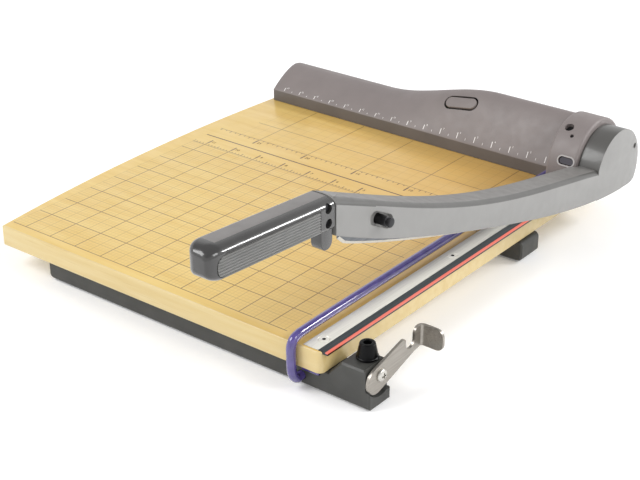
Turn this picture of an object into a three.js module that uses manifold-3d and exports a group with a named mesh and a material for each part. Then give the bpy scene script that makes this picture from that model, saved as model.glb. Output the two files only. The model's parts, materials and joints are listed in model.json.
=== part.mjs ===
// Guillotine paper trimmer with a wooden bed, a laser cut line and a raised knife arm.
//
// Units are millimetres and +Z is up. Everything is laid out in bed coordinates: X runs from the
// left of the bed to the knife, Y from the front edge to the back, and Z = 0 is the bed's top face.
// The finished group is then moved, so that its origin is the middle of the footprint on the table.

import * as THREE from "three";
import { mergeVertices } from "three/addons/utils/BufferGeometryUtils.js";
import Module from "manifold-3d";

const wasm = await Module();
wasm.setup();

// ---------------------------------------------------------------- driving dimensions

const GAP = 0.3; // clearance kept between neighbouring pieces
const ORIGIN = { x: 175, y: 110.5, z: -33 }; // centre of the footprint, at table level

const BED = {
  front: -9,
  back: 352,
  right: 303.3,
  leftFront: 10.5,
  leftBack: 7,
  bowControl: -13.75, // pulls the left edge out in a shallow bow
  thickness: 15.7,
  corner: 4.5,
  edge: 1.2,
};

const STRIP = { left: 287.5, right: 299, front: -6.5, back: 300, top: 0.2, bottom: -1.8 };
const KNIFE_EDGE = 306.5; // outer face of the fixed knife
const STRIP_SCREWS = { x: 294.1, y: [5.9, 149.7, 293.5] };

const RAIL = {
  top: -16,
  bottom: -32,
  front: { left: 50, right: 336, y0: -3, y1: 19.5 },
  rear: { left: 50, right: 306, y0: 223.5, y1: 248.5 },
  corner: 4,
  edge: 1.2,
  rampStart: 303.8, // the front rail climbs beside the bed to carry the bumper and the latch
  rampEnd: 314,
  blockTop: -5,
  lipStart: 331,
  lipTop: -0.5,
};
const PAD = { radius: 8, bottom: -33, top: -31 };

const HOUSING = {
  left: 5.5,
  right: 288,
  front: 302,
  back: 350,
  bottom: 0.3,
  shoulder: 10, // height of the flat front face
  crestY: 332,
  slope: 1.6, // exponent of the front curve, from a firm edge at the shoulder to a level crest
  lowRise: 15, // crest above the shoulder at the left
  highRise: 35.3, // crest above the shoulder at the knife end
  riseStart: 104,
  riseEnd: 214,
  wall: 2.6,
};

const PIVOT = { y: 318, z: 15 }; // arm hinge, its axis along X
const HEAD = { left: 288.4, right: 312.5, radius: 36.5, front: 284, bottom: 0.5, edge: 2.2 };
const WINDOW = { x: 304, angle: 20, length: 12.5, width: 6 }; // angle above the forward direction
const ADJUSTER = { x: 296, angle: 62, radius: 3.6, depth: 7 };
const SET_SCREW = { x: 301.6, angle: 51, radius: 1.5, depth: 5 };

const ARM = {
  inner: 309.4,
  hubInner: 313,
  outer: 330,
  hubRadius: 32,
  headClearance: 38,
  edge: 2.6,
};
const BLADE = { inner: 306.8, outer: 309.1, heel: -48.5, toe: -316, drop: 10, grip: 9 };
const BLADE_SCREWS = [-84, -154, -224, -294];
const HUB_HOLE = { y: 25, z: 12, radius: 2.1, depth: 6 };

// The arm's upper and lower edges from the side, measured from the hinge with the arm at rest. Each
// is a polynomial in the distance along the arm, in hundreds of millimetres, constant term first.
const ARM_TOP = { from: -30.5, to: -343, terms: [2.26, 27.38, -11.53, 6.22, -0.78] };
const ARM_BOTTOM = { from: 6, to: -345, terms: [-17.2, 6.77, 13.98, -4.3, 0.596] };

const HANDLE = {
  inner: 309.2,
  outer: 328.8,
  root: -346,
  end: -449.5,
  topRoot: 104.2,
  topEnd: 112.4,
  bottomRoot: 84.4,
  bottomEnd: 92,
  corner: 8,
  edge: 4,
};
const TANG = { inner: 315, outer: 324, end: -432 };
const PANEL = { root: -358.5, end: -443.5, depth: 1.5, top: 0.87, bottom: 0.13, corner: 6 };
const HANDLE_SCREWS = [
  [-351.4, 99.6],
  [-351.4, 90.6],
];
const GUARD = { root: -346.2, end: -356.4, inner: 319.6, outer: 327.4, bottom: 73.6, radius: 4.8 };
const CATCH = { y: -302.3, z: 74.6, radius: 3.2, tip: 337.2, slotLength: 24, slotWidth: 9, tilt: -28 };

const LATCH_POCKET = 333; // floor of the recess in the front rail's end
const LATCH = {
  y: 9,
  z: -11.5,
  inner: 334,
  outer: 336,
  round: 8.9, // its round end, centred a little beyond the pivot
  endY: -4.2,
  endZ: -2.4,
  sweep: 14.6, // room that the round end needs to turn in
  notchY: 30.8,
  notchZ: 9.4,
  notchRadius: 4.9,
  tabReach: 352.5,
};
const BUMPER = { x: 323.4, y: 11.8, bottom: -4.7, top: 6.1, base: 7.3, tip: 5.1, bore: 2.4 };

const BAND = { radius: 3.2, frontX: 282.8, frontZ: 4.6, backX: 283.6, backZ: 8.2, anchorZ: -25.6 };
const BEAD = { x0: 284, x1: 297.5, y0: -4.5, y1: 4, z0: -20.6, z1: -16.3 };

const BUTTON = {
  x: 187.2,
  y: 320,
  length: 28.8,
  width: 9.3,
  thickness: 3.4,
  groove: 1.5,
  tiltForward: 0.787, // radians
  tiltSide: -0.111,
};
const SWITCH = { size: 6, top: -6.4, bottom: -10.4 };
const CIRCUIT = { length: 44, width: 13, top: -10.7, bottom: -12.3, postRadius: 1.8, postX: 19 };
const CELLS = { x: 204, y: 338, z: 8.5, pitch: 12, radius: 5.2, length: 44.5 };
const DOOR = { x0: 200, x1: 254, z0: 2, z1: 27 };

// ---------------------------------------------------------------- materials

const FINISH = {
  wood: { color: 0xe3c88a, roughness: 0.45, metalness: 0 },
  rail: { color: 0x4c4c49, roughness: 0.6, metalness: 0 },
  rubber: { color: 0x141416, roughness: 0.75, metalness: 0 },
  housing: { color: 0x8f8885, roughness: 0.42, metalness: 0.15 },
  arm: { color: 0x9b9b98, roughness: 0.4, metalness: 0.3 },
  grip: { color: 0x4a4a4b, roughness: 0.35, metalness: 0 },
  steel: { color: 0xc9c7be, roughness: 0.3, metalness: 0.9 },
  blade: { color: 0x5b6065, roughness: 0.3, metalness: 0.9 },
  darkSteel: { color: 0x2b2b2d, roughness: 0.45, metalness: 0.8 },
  bronze: { color: 0xa77b3c, roughness: 0.4, metalness: 0.9 },
  band: { color: 0x5a4a9c, roughness: 0.2, metalness: 0 },
  lens: { color: 0x1c1a22, roughness: 0.1, metalness: 0 },
  board: { color: 0x2c6b3a, roughness: 0.5, metalness: 0 },
  cell: { color: 0xb9a04e, roughness: 0.35, metalness: 0.4 },
};

// ---------------------------------------------------------------- solids and booleans

function solid(geometry) {
  const bare = geometry.clone();
  bare.deleteAttribute("normal");
  bare.deleteAttribute("uv");
  const merged = mergeVertices(bare, 1e-4);
  const mesh = new wasm.Mesh({
    numProp: 3,
    vertProperties: new Float32Array(merged.attributes.position.array),
    triVerts: new Uint32Array(merged.index.array),
  });
  return new wasm.Manifold(mesh);
}

function surface(manifold) {
  const mesh = manifold.getMesh();
  const geometry = new THREE.BufferGeometry();
  geometry.setAttribute("position", new THREE.Float32BufferAttribute(mesh.vertProperties, 3));
  geometry.setIndex(new THREE.BufferAttribute(mesh.triVerts, 1));
  geometry.computeVertexNormals();
  return geometry;
}

function cut(body, ...tools) {
  return surface(tools.reduce((left, tool) => left.subtract(solid(tool)), solid(body)));
}

function join(body, ...others) {
  return surface(others.reduce((left, other) => left.add(solid(other)), solid(body)));
}

// ---------------------------------------------------------------- basic shapes

function box(x0, x1, y0, y1, z0, z1) {
  const geometry = new THREE.BoxGeometry(x1 - x0, y1 - y0, z1 - z0);
  return geometry.translate((x0 + x1) / 2, (y0 + y1) / 2, (z0 + z1) / 2);
}

// A shape drawn in (Y, Z), extruded along +X.
function alongX(shape, x0, x1, edge = 0, curveSegments = 8) {
  const geometry = extrude(shape, x1 - x0, edge, curveSegments);
  const turn = new THREE.Matrix4().set(0, 0, 1, 0, 1, 0, 0, 0, 0, 1, 0, 0, 0, 0, 0, 1);
  return geometry.applyMatrix4(turn).translate(x0, 0, 0);
}

// A shape drawn in (X, Z), extruded along Y.
function alongY(shape, y0, y1, edge = 0, curveSegments = 8) {
  return extrude(shape, y1 - y0, edge, curveSegments).rotateX(Math.PI / 2).translate(0, y1, 0);
}

// A shape drawn in (X, Y), extruded along +Z.
function alongZ(shape, z0, z1, edge = 0, curveSegments = 8) {
  return extrude(shape, z1 - z0, edge, curveSegments).translate(0, 0, z0);
}

function extrude(shape, length, edge, curveSegments) {
  const geometry = new THREE.ExtrudeGeometry(shape, {
    depth: length - 2 * edge,
    bevelEnabled: edge > 0,
    bevelThickness: edge,
    bevelSize: edge,
    bevelOffset: -edge,
    bevelSegments: edge > 2 ? 2 : 1,
    curveSegments,
  });
  return geometry.translate(0, 0, edge);
}

function cylinderX(y, z, radius, x0, x1, segments = 24, radius2 = radius) {
  const geometry = new THREE.CylinderGeometry(radius2, radius, x1 - x0, segments);
  return geometry.rotateZ(-Math.PI / 2).translate((x0 + x1) / 2, y, z);
}

function cylinderZ(x, y, radius, z0, z1, segments = 20, radius2 = radius) {
  const geometry = new THREE.CylinderGeometry(radius2, radius, z1 - z0, segments);
  return geometry.rotateX(Math.PI / 2).translate(x, y, (z0 + z1) / 2);
}

// A turned piece on the Z axis, from a list of [radius, height] that starts and ends on the axis.
function turned(profile, segments = 16) {
  const points = profile.map(([radius, height]) => new THREE.Vector2(radius, height));
  return new THREE.LatheGeometry(points, segments).rotateX(Math.PI / 2);
}

function rectangle(u0, u1, v0, v1, radius = 0) {
  const shape = new THREE.Shape();
  if (radius === 0) {
    shape.moveTo(u0, v0).lineTo(u1, v0).lineTo(u1, v1).lineTo(u0, v1).closePath();
    return shape;
  }
  shape.moveTo(u0 + radius, v0);
  shape.lineTo(u1 - radius, v0);
  shape.absarc(u1 - radius, v0 + radius, radius, -Math.PI / 2, 0, false);
  shape.absarc(u1 - radius, v1 - radius, radius, 0, Math.PI / 2, false);
  shape.absarc(u0 + radius, v1 - radius, radius, Math.PI / 2, Math.PI, false);
  shape.absarc(u0 + radius, v0 + radius, radius, Math.PI, 1.5 * Math.PI, false);
  return shape;
}

function stadium(length, width) {
  const half = (length - width) / 2;
  const shape = new THREE.Shape();
  shape.absarc(half, 0, width / 2, -Math.PI / 2, Math.PI / 2, false);
  shape.absarc(-half, 0, width / 2, Math.PI / 2, 1.5 * Math.PI, false);
  return shape;
}

// ---------------------------------------------------------------- the assembly

const trimmer = new THREE.Group();
trimmer.name = "paper_trimmer";
trimmer.position.set(-ORIGIN.x, -ORIGIN.y, -ORIGIN.z);

function add(name, geometry, finish, parent = trimmer) {
  const mesh = new THREE.Mesh(geometry, new THREE.MeshStandardMaterial(FINISH[finish]));
  mesh.name = name;
  parent.add(mesh);
  return mesh;
}

// ---------------------------------------------------------------- bed

const WOOD_HOLE = 2.2;
const RAIL_SCREWS = [
  [95, 8.5],
  [240, 8.5],
  [95, 236],
  [240, 236],
];
const HOUSING_SCREWS = [
  [26, 338],
  [150, 341],
  [268, 341],
];
const HEAD_SCREWS = [
  [296, 312],
  [296, 342],
];

// A hole from under the bed, with room for the screw's head.
function underHole(x, y) {
  return join(cylinderZ(x, y, 5, -20, -12, 16), cylinderZ(x, y, WOOD_HOLE, -13, 5, 12));
}

function makeBed() {
  const outline = new THREE.Shape();
  outline.moveTo(BED.leftFront, BED.front);
  outline.lineTo(BED.right - BED.corner, BED.front);
  outline.absarc(BED.right - BED.corner, BED.front + BED.corner, BED.corner, -Math.PI / 2, 0, false);
  outline.lineTo(BED.right, BED.back);
  outline.lineTo(BED.leftBack, BED.back);
  outline.quadraticCurveTo(BED.bowControl, (BED.front + BED.back) / 2, BED.leftFront, BED.front);
  const plank = alongZ(outline, -BED.thickness, 0, BED.edge, 14);

  const seatBottom = STRIP.bottom - GAP;
  const seat = box(STRIP.left - GAP, BED.right + 5, BED.front - 5, STRIP.back + GAP, seatBottom, 5);
  const nose = box(STRIP.left - GAP, BED.right + 5, BED.front - 5, STRIP.front - GAP, -8, 5);
  const recess = cut(seat, nose);
  const stripHoles = STRIP_SCREWS.y.map((y) => cylinderZ(STRIP_SCREWS.x, y, WOOD_HOLE, -13.5, 1, 12));
  const railHoles = RAIL_SCREWS.map(([x, y]) => cylinderZ(x, y, WOOD_HOLE, -20, -5.5, 12));
  const underHoles = [...HOUSING_SCREWS, ...HEAD_SCREWS].map(([x, y]) => underHole(x, y));
  add("bed_board", cut(plank, recess, ...stripHoles, ...railHoles, ...underHoles), "wood");
}

// ---------------------------------------------------------------- cutting strip and fixed knife

const COUNTERSUNK = [
  [0, -13],
  [1.9, -12.8],
  [1.9, -1.9],
  [3.7, 0],
  [0, 0],
];

function makeStrip() {
  const holes = STRIP_SCREWS.y.flatMap((y) => [
    cylinderZ(STRIP_SCREWS.x, y, 2.3, -5, 3, 16),
    cylinderZ(STRIP_SCREWS.x, y, 2.1, STRIP.top - 2.05, STRIP.top + 0.05, 16, 4.1),
  ]);
  const plate = box(STRIP.left, STRIP.right, STRIP.front, STRIP.back, STRIP.bottom, STRIP.top);
  add("cutting_strip", cut(plate, ...holes), "steel");

  const knife = box(STRIP.right + GAP, KNIFE_EDGE, STRIP.front, STRIP.back, STRIP.bottom, STRIP.top);
  add("fixed_knife", knife, "blade");

  STRIP_SCREWS.y.forEach((y, index) => {
    const screw = add(`strip_screw_${index + 1}`, turned(COUNTERSUNK), "steel");
    screw.position.set(STRIP_SCREWS.x, y, STRIP.top - 0.1);
  });
}

// ---------------------------------------------------------------- rails and feet

const RAIL_SCREW = [
  [0, 0],
  [3.9, 0],
  [4.3, 0.9],
  [4.3, 2.4],
  [1.9, 2.6],
  [1.9, 24],
  [0, 24.2],
];
const UNDER_SCREW = [
  [0, 0],
  [4, 0],
  [4.3, 0.8],
  [4.3, 2.2],
  [1.9, 2.4],
  [1.9, 18],
  [0, 18.2],
];
const RAIL_SCREW_SEAT = -28.6; // top of the counterbore that takes the screw's head
const FRONT_PADS = [68, 318];
const REAR_PADS = [68, 288];

function railScrewHole(x, y) {
  const counterbore = cylinderZ(x, y, 4.8, RAIL.bottom - 1, RAIL_SCREW_SEAT, 16);
  return join(counterbore, cylinderZ(x, y, WOOD_HOLE, RAIL_SCREW_SEAT - 1, 0, 12));
}

function padSeat(x, y) {
  return cylinderZ(x, y, PAD.radius + GAP, RAIL.bottom - 1, PAD.top + GAP, 20);
}

function makeFrontRail() {
  const { left, right, y0, y1 } = RAIL.front;
  const side = new THREE.Shape();
  side.moveTo(left + RAIL.corner, RAIL.bottom);
  side.lineTo(right, RAIL.bottom);
  side.lineTo(right, RAIL.lipTop);
  side.lineTo(RAIL.lipStart, RAIL.blockTop);
  side.lineTo(RAIL.rampEnd, RAIL.blockTop);
  side.lineTo(RAIL.rampStart, RAIL.top);
  side.lineTo(left, RAIL.top);
  side.lineTo(left, RAIL.bottom + RAIL.corner);
  side.absarc(left + RAIL.corner, RAIL.bottom + RAIL.corner, RAIL.corner, Math.PI, 1.5 * Math.PI, false);
  const block = alongY(side, y0, y1, RAIL.edge, 5);

  const pocket = cylinderX(LATCH.y, LATCH.z, LATCH.sweep, LATCH_POCKET, right + 1, 36);
  const pocketBack = box(LATCH_POCKET, right + 1, LATCH.y, y1 + 1, LATCH.z - LATCH.sweep + 1, 2);
  const pocketTop = box(LATCH_POCKET, right + 1, y0 - 1, y1 + 1, LATCH.z, 2);
  const latchHole = cylinderX(LATCH.y, LATCH.z, 2.3, 322, LATCH_POCKET + 1, 12);
  const bumperHole = cylinderZ(BUMPER.x, BUMPER.y, 1.7, -15, 0, 12);
  const beadSeat = box(BEAD.x0 - GAP, BEAD.x1 + GAP, y0 - 1, BEAD.y1 + GAP, BEAD.z0 - GAP, RAIL.top + 1);
  const bandHole = cylinderZ(0, 0, BAND.radius + GAP, 0, 18, 16).rotateX(Math.PI / 2);
  bandHole.translate(BAND.frontX, 12, BAND.anchorZ);
  const screws = RAIL_SCREWS.slice(0, 2).map(([x, y]) => railScrewHole(x, y));
  const pads = FRONT_PADS.map((x) => padSeat(x, (y0 + y1) / 2));
  const pockets = [pocket, pocketBack, pocketTop];
  const tools = [...pockets, latchHole, bumperHole, beadSeat, bandHole, ...screws, ...pads];
  add("front_rail", cut(block, ...tools), "rail");
}

function makeRearRail() {
  const { left, right, y0, y1 } = RAIL.rear;
  const block = alongY(rectangle(left, right, RAIL.bottom, RAIL.top, RAIL.corner), y0, y1, RAIL.edge, 5);
  const screws = RAIL_SCREWS.slice(2).map(([x, y]) => railScrewHole(x, y));
  const pads = REAR_PADS.map((x) => padSeat(x, (y0 + y1) / 2));
  add("rear_rail", cut(block, ...screws, ...pads), "rail");
}

function makeRailFasteners() {
  RAIL_SCREWS.forEach(([x, y], index) => {
    const screw = add(`rail_screw_${index + 1}`, turned(RAIL_SCREW), "darkSteel");
    screw.position.set(x, y, RAIL_SCREW_SEAT - 2.4 - GAP);
  });
  const rows = { front: [FRONT_PADS, RAIL.front], rear: [REAR_PADS, RAIL.rear] };
  for (const [row, [places, rail]] of Object.entries(rows)) {
    places.forEach((x, index) => {
      const pad = cylinderZ(x, (rail.y0 + rail.y1) / 2, PAD.radius, PAD.bottom, PAD.top, 20);
      const side = index === 0 ? "left" : "right";
      add(`foot_pad_${row}_${side}`, pad, "rubber");
    });
  }
}

// ---------------------------------------------------------------- bumper and latch

function makeBumper() {
  const { bottom, top, base, tip, bore } = BUMPER;
  const height = top - bottom;
  const rubber = turned(
    [
      [bore, 0],
      [base - 0.6, 0],
      [base, 0.8],
      [tip + 0.3, height - 0.9],
      [tip - 0.6, height],
      [bore + 0.9, height],
      [bore + 0.9, height - 5],
      [bore, height - 5],
      [bore, 0],
    ],
    24,
  );
  add("bumper", rubber, "rubber").position.set(BUMPER.x, BUMPER.y, bottom);
  const screw = turned([
    [0, -9],
    [1.4, -8.8],
    [1.4, height - 4.7],
    [2.9, height - 4.7],
    [2.9, height - 3],
    [0, height - 2.6],
  ]);
  add("bumper_screw", screw, "darkSteel").position.set(BUMPER.x, BUMPER.y, bottom);
}

// The latch plate from the side, measured from its pivot.
function latchOutline() {
  const { round, endY, endZ, notchY, notchZ, notchRadius } = LATCH;
  const shape = new THREE.Shape();
  const low = Math.PI * 1.6;
  shape.moveTo(endY + round * Math.cos(low), endZ + round * Math.sin(low));
  shape.lineTo(36, 1);
  shape.lineTo(44.8, 1.6);
  shape.lineTo(44.8, 16.6);
  shape.lineTo(40.6, 16.6);
  shape.quadraticCurveTo(notchY + notchRadius, 16.2, notchY + notchRadius, 12);
  shape.lineTo(notchY + notchRadius, notchZ);
  shape.absarc(notchY, notchZ, notchRadius, 0, -Math.PI, true);
  shape.lineTo(notchY - notchRadius, 12.2);
  shape.quadraticCurveTo(notchY - notchRadius - 0.8, 14, notchY - notchRadius - 3, 13.8);
  shape.absarc(endY, endZ, round, Math.PI * 0.58, low, false);
  return shape;
}

function makeLatch() {
  const latch = new THREE.Group();
  latch.position.set(0, LATCH.y, LATCH.z);
  trimmer.add(latch);
  const plate = alongX(latchOutline(), LATCH.inner, LATCH.outer, 0.3, 8);
  const hole = cylinderX(0, 0, 2.5, LATCH.inner - 1, LATCH.outer + 1, 16);
  const tabShape = rectangle(LATCH.inner + 0.3, LATCH.tabReach, 2.2, 16, 4.5);
  const tab = alongY(tabShape, 42.6, 44.6, 0.3, 5);
  add("latch_lever", cut(join(plate, tab), hole), "steel", latch);

  const screw = turned([
    [0, 0],
    [3.9, 0.4],
    [4.1, 1],
    [4.1, 2],
    [2.2, 2],
    [2.2, 12],
    [0, 12.2],
  ]);
  screw.rotateY(-Math.PI / 2).translate(LATCH.outer + 2.3, 0, 0);
  add("latch_screw", screw, "steel", latch);

  const washer = turned([
    [2.6, 0],
    [6, 0],
    [6, 0.5],
    [2.6, 0.5],
    [2.6, 0],
  ]);
  washer.rotateY(Math.PI / 2).translate(LATCH_POCKET + 0.3, 0, 0);
  add("latch_washer", washer, "steel", latch);
}

// ---------------------------------------------------------------- guard band

const BAND_SIDES = 10;

function makeBand() {
  const section = new THREE.Shape();
  for (let side = 0; side < BAND_SIDES; side += 1) {
    const turn = (2 * Math.PI * side) / BAND_SIDES;
    const x = BAND.radius * Math.cos(turn);
    const y = BAND.radius * Math.sin(turn);
    if (side === 0) {
      section.moveTo(x, y);
    } else {
      section.lineTo(x, y);
    }
  }
  section.closePath();
  const { frontX, frontZ, backX, backZ, anchorZ } = BAND;
  const route = new THREE.CatmullRomCurve3(
    [
      [backX, 309, backZ],
      [backX, 300, backZ],
      [frontX + 0.2, 150, 6.4],
      [frontX - 0.5, 4, frontZ + 0.4],
      [frontX - 0.3, -6, frontZ],
      [frontX, -10.6, 3.1],
      [frontX, -12.8, -1.1],
      [frontX, -12.8, -8],
      [frontX, -12.7, -15],
      [frontX, -11.4, -21.5],
      [frontX, -7.4, anchorZ - 0.3],
      [frontX, -2, anchorZ],
      [frontX, 9, anchorZ],
    ].map(([x, y, z]) => new THREE.Vector3(x, y, z)),
    false,
    "centripetal",
  );
  const options = { steps: 56, extrudePath: route, bevelEnabled: false, curveSegments: 1 };
  add("guard_band", new THREE.ExtrudeGeometry(section, options), "band");
  const bead = box(BEAD.x0, BEAD.x1, BEAD.y0, BEAD.y1, BEAD.z0, BEAD.z1);
  add("band_front_clip", bead, "band");
  const clampX = BAND.backX;
  const clamp = box(clampX - 5, clampX + 1.1, 309.4, 314, 1, 14);
  add("band_rear_clip", clamp, "steel");
}

// ---------------------------------------------------------------- scale housing

const END_WALL = 3;

// The crest's height above the shoulder at x, an S-curve from the low bar up to the pivot head.
function crestRise(x) {
  const t = THREE.MathUtils.clamp((x - HOUSING.riseStart) / (HOUSING.riseEnd - HOUSING.riseStart), 0, 1);
  const ease = t * t * (3 - 2 * t);
  return HOUSING.lowRise + (HOUSING.highRise - HOUSING.lowRise) * ease;
}

// Height above the shoulder, as a share of the crest's, at a share of the way back to the crest.
function frontHeight(share) {
  return 1 - (1 - share) ** HOUSING.slope;
}

// The housing's section in (Y, Z) with a crest of height 1 above the shoulder, shrunk by inset.
function housingSection(inset) {
  const front = HOUSING.front + inset;
  const back = HOUSING.back - inset;
  const shape = new THREE.Shape();
  shape.moveTo(back, HOUSING.bottom - inset);
  shape.lineTo(back, HOUSING.shoulder);
  shape.absellipse(HOUSING.crestY, HOUSING.shoulder, back - HOUSING.crestY, 1, 0, Math.PI / 2, false);
  const steps = 8;
  for (let step = steps - 1; step >= 0; step -= 1) {
    const share = Math.sin((Math.PI / 2) * (step / steps));
    const y = THREE.MathUtils.lerp(front, HOUSING.crestY, share);
    shape.lineTo(y, HOUSING.shoulder + frontHeight(share));
  }
  shape.lineTo(front, HOUSING.bottom - inset);
  return shape;
}

function housingBody(x0, x1, inset, steps) {
  const options = { depth: x1 - x0, steps, bevelEnabled: false, curveSegments: 6 };
  const geometry = new THREE.ExtrudeGeometry(housingSection(inset), options);
  const turn = new THREE.Matrix4().set(0, 0, 1, 0, 1, 0, 0, 0, 0, 1, 0, 0, 0, 0, 0, 1);
  geometry.applyMatrix4(turn).translate(x0, 0, 0);
  const position = geometry.attributes.position;
  for (let index = 0; index < position.count; index += 1) {
    const above = position.getZ(index) - HOUSING.shoulder;
    if (above > 0) {
      const rise = crestRise(position.getX(index)) - inset;
      position.setZ(index, HOUSING.shoulder + above * rise);
    }
  }
  return geometry;
}

// The button's place on the sloping cover: its local Z points straight out of the surface.
function onSlope(parent = trimmer) {
  const group = new THREE.Group();
  const share = (BUTTON.y - HOUSING.front) / (HOUSING.crestY - HOUSING.front);
  const z = HOUSING.shoulder + crestRise(BUTTON.x) * frontHeight(share);
  group.position.set(BUTTON.x, BUTTON.y, z);
  group.rotation.set(BUTTON.tiltForward, BUTTON.tiltSide, 0);
  parent.add(group);
  group.updateMatrix();
  return group;
}

function makeHousing() {
  const outer = housingBody(HOUSING.left, HOUSING.right, 0, 16);
  const inner = housingBody(HOUSING.left + END_WALL, HOUSING.right + 1, HOUSING.wall, 16);
  const place = onSlope().matrix;
  const slot = alongZ(stadium(BUTTON.length + 2 * BUTTON.groove, BUTTON.width + 2 * BUTTON.groove), -9, 9);
  const door = box(DOOR.x0 - GAP, DOOR.x1 + GAP, 340, 360, DOOR.z0 - GAP, DOOR.z1 + GAP);
  const bandHole = cylinderZ(0, 0, BAND.radius + 0.6, 0, 12, 16).rotateX(Math.PI / 2);
  bandHole.translate(BAND.backX - 0.2, 308, BAND.backZ);
  const shell = cut(outer, inner, slot.applyMatrix4(place), door, bandHole);
  const bosses = HOUSING_SCREWS.map(([x, y]) => {
    const top = HOUSING.shoulder + crestRise(x) * 0.75;
    return cylinderZ(x, y, 4.4, HOUSING.bottom, top, 14);
  });
  const posts = [-1, 1].map((end) => {
    const post = cylinderZ(end * CIRCUIT.postX, 0, CIRCUIT.postRadius, CIRCUIT.top + GAP, -1.2, 10);
    return post.applyMatrix4(place);
  });
  const holes = HOUSING_SCREWS.map(([x, y]) => cylinderZ(x, y, 2.2, -1, 9, 12));
  add("scale_housing", cut(join(shell, ...bosses, ...posts), ...holes), "housing");

  HOUSING_SCREWS.forEach(([x, y], index) => {
    const screw = add(`housing_screw_${index + 1}`, turned(UNDER_SCREW), "darkSteel");
    screw.position.set(x, y, -12.3 - 2.4);
  });
}

function makeButton() {
  const place = onSlope();
  const cap = alongZ(stadium(BUTTON.length, BUTTON.width), 0.4 - BUTTON.thickness, 0.4, 0.7, 8);
  const stem = cylinderZ(0, 0, 2.2, -BUTTON.thickness - 1.2, -1.5, 12);
  add("laser_button", join(cap, stem), "housing", place);
}

function makeElectronics() {
  const { x, y, z, pitch, radius, length } = CELLS;
  for (const index of [0, 1]) {
    const cell = cylinderX(y, z + index * pitch, radius, x, x + length, 20);
    add(`cell_${index + 1}`, cell, "cell");
    const end = index === 0 ? x + length + GAP : x - GAP - 1;
    const contact = box(end, end + 1, y - 4, y + 4, z + index * pitch - 4, z + index * pitch + 4);
    add(`cell_contact_${index + 1}`, contact, "steel");
  }
  const cover = box(DOOR.x0, DOOR.x1, HOUSING.back - HOUSING.wall, HOUSING.back, DOOR.z0, DOOR.z1);
  const ribs = [4, 8, 12].map((step) => {
    const ribX = DOOR.x0 + step;
    return box(ribX, ribX + 1.4, HOUSING.back - 1, HOUSING.back + 0.8, DOOR.z0 + 3, DOOR.z1 - 3);
  });
  add("battery_door", join(cover, ...ribs), "housing");

  const place = onSlope();
  const reach = CIRCUIT.length / 2;
  const side = CIRCUIT.width / 2;
  const board = box(-reach, reach, -side, side, CIRCUIT.bottom, CIRCUIT.top);
  const postHoles = [-1, 1].map((end) => cylinderZ(end * CIRCUIT.postX, 0, 1.1, -14, -9, 10));
  add("circuit_board", cut(board, ...postHoles), "board", place);
  const half = SWITCH.size / 2;
  add("push_switch", box(-half, half, -half, half, SWITCH.bottom, SWITCH.top), "darkSteel", place);
}

// ---------------------------------------------------------------- pivot head and laser

const SHAFT_RADIUS = 5;
const NUT_POCKET = { depth: 9.6, radius: 11 };
const BUSH = { inner: 5.3, outer: 7, flange: 8.6, x0: 299, x1: 312.2 };

// A frame on the head's round face at an angle above the forward direction, with Z pointing out.
function onHead(x, angle, parent = trimmer) {
  const group = new THREE.Group();
  const turn = THREE.MathUtils.degToRad(angle);
  const y = PIVOT.y - HEAD.radius * Math.cos(turn);
  const z = PIVOT.z + HEAD.radius * Math.sin(turn);
  group.position.set(x, y, z);
  group.rotation.x = Math.PI / 2 - turn;
  parent.add(group);
  group.updateMatrix();
  return group;
}

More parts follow.
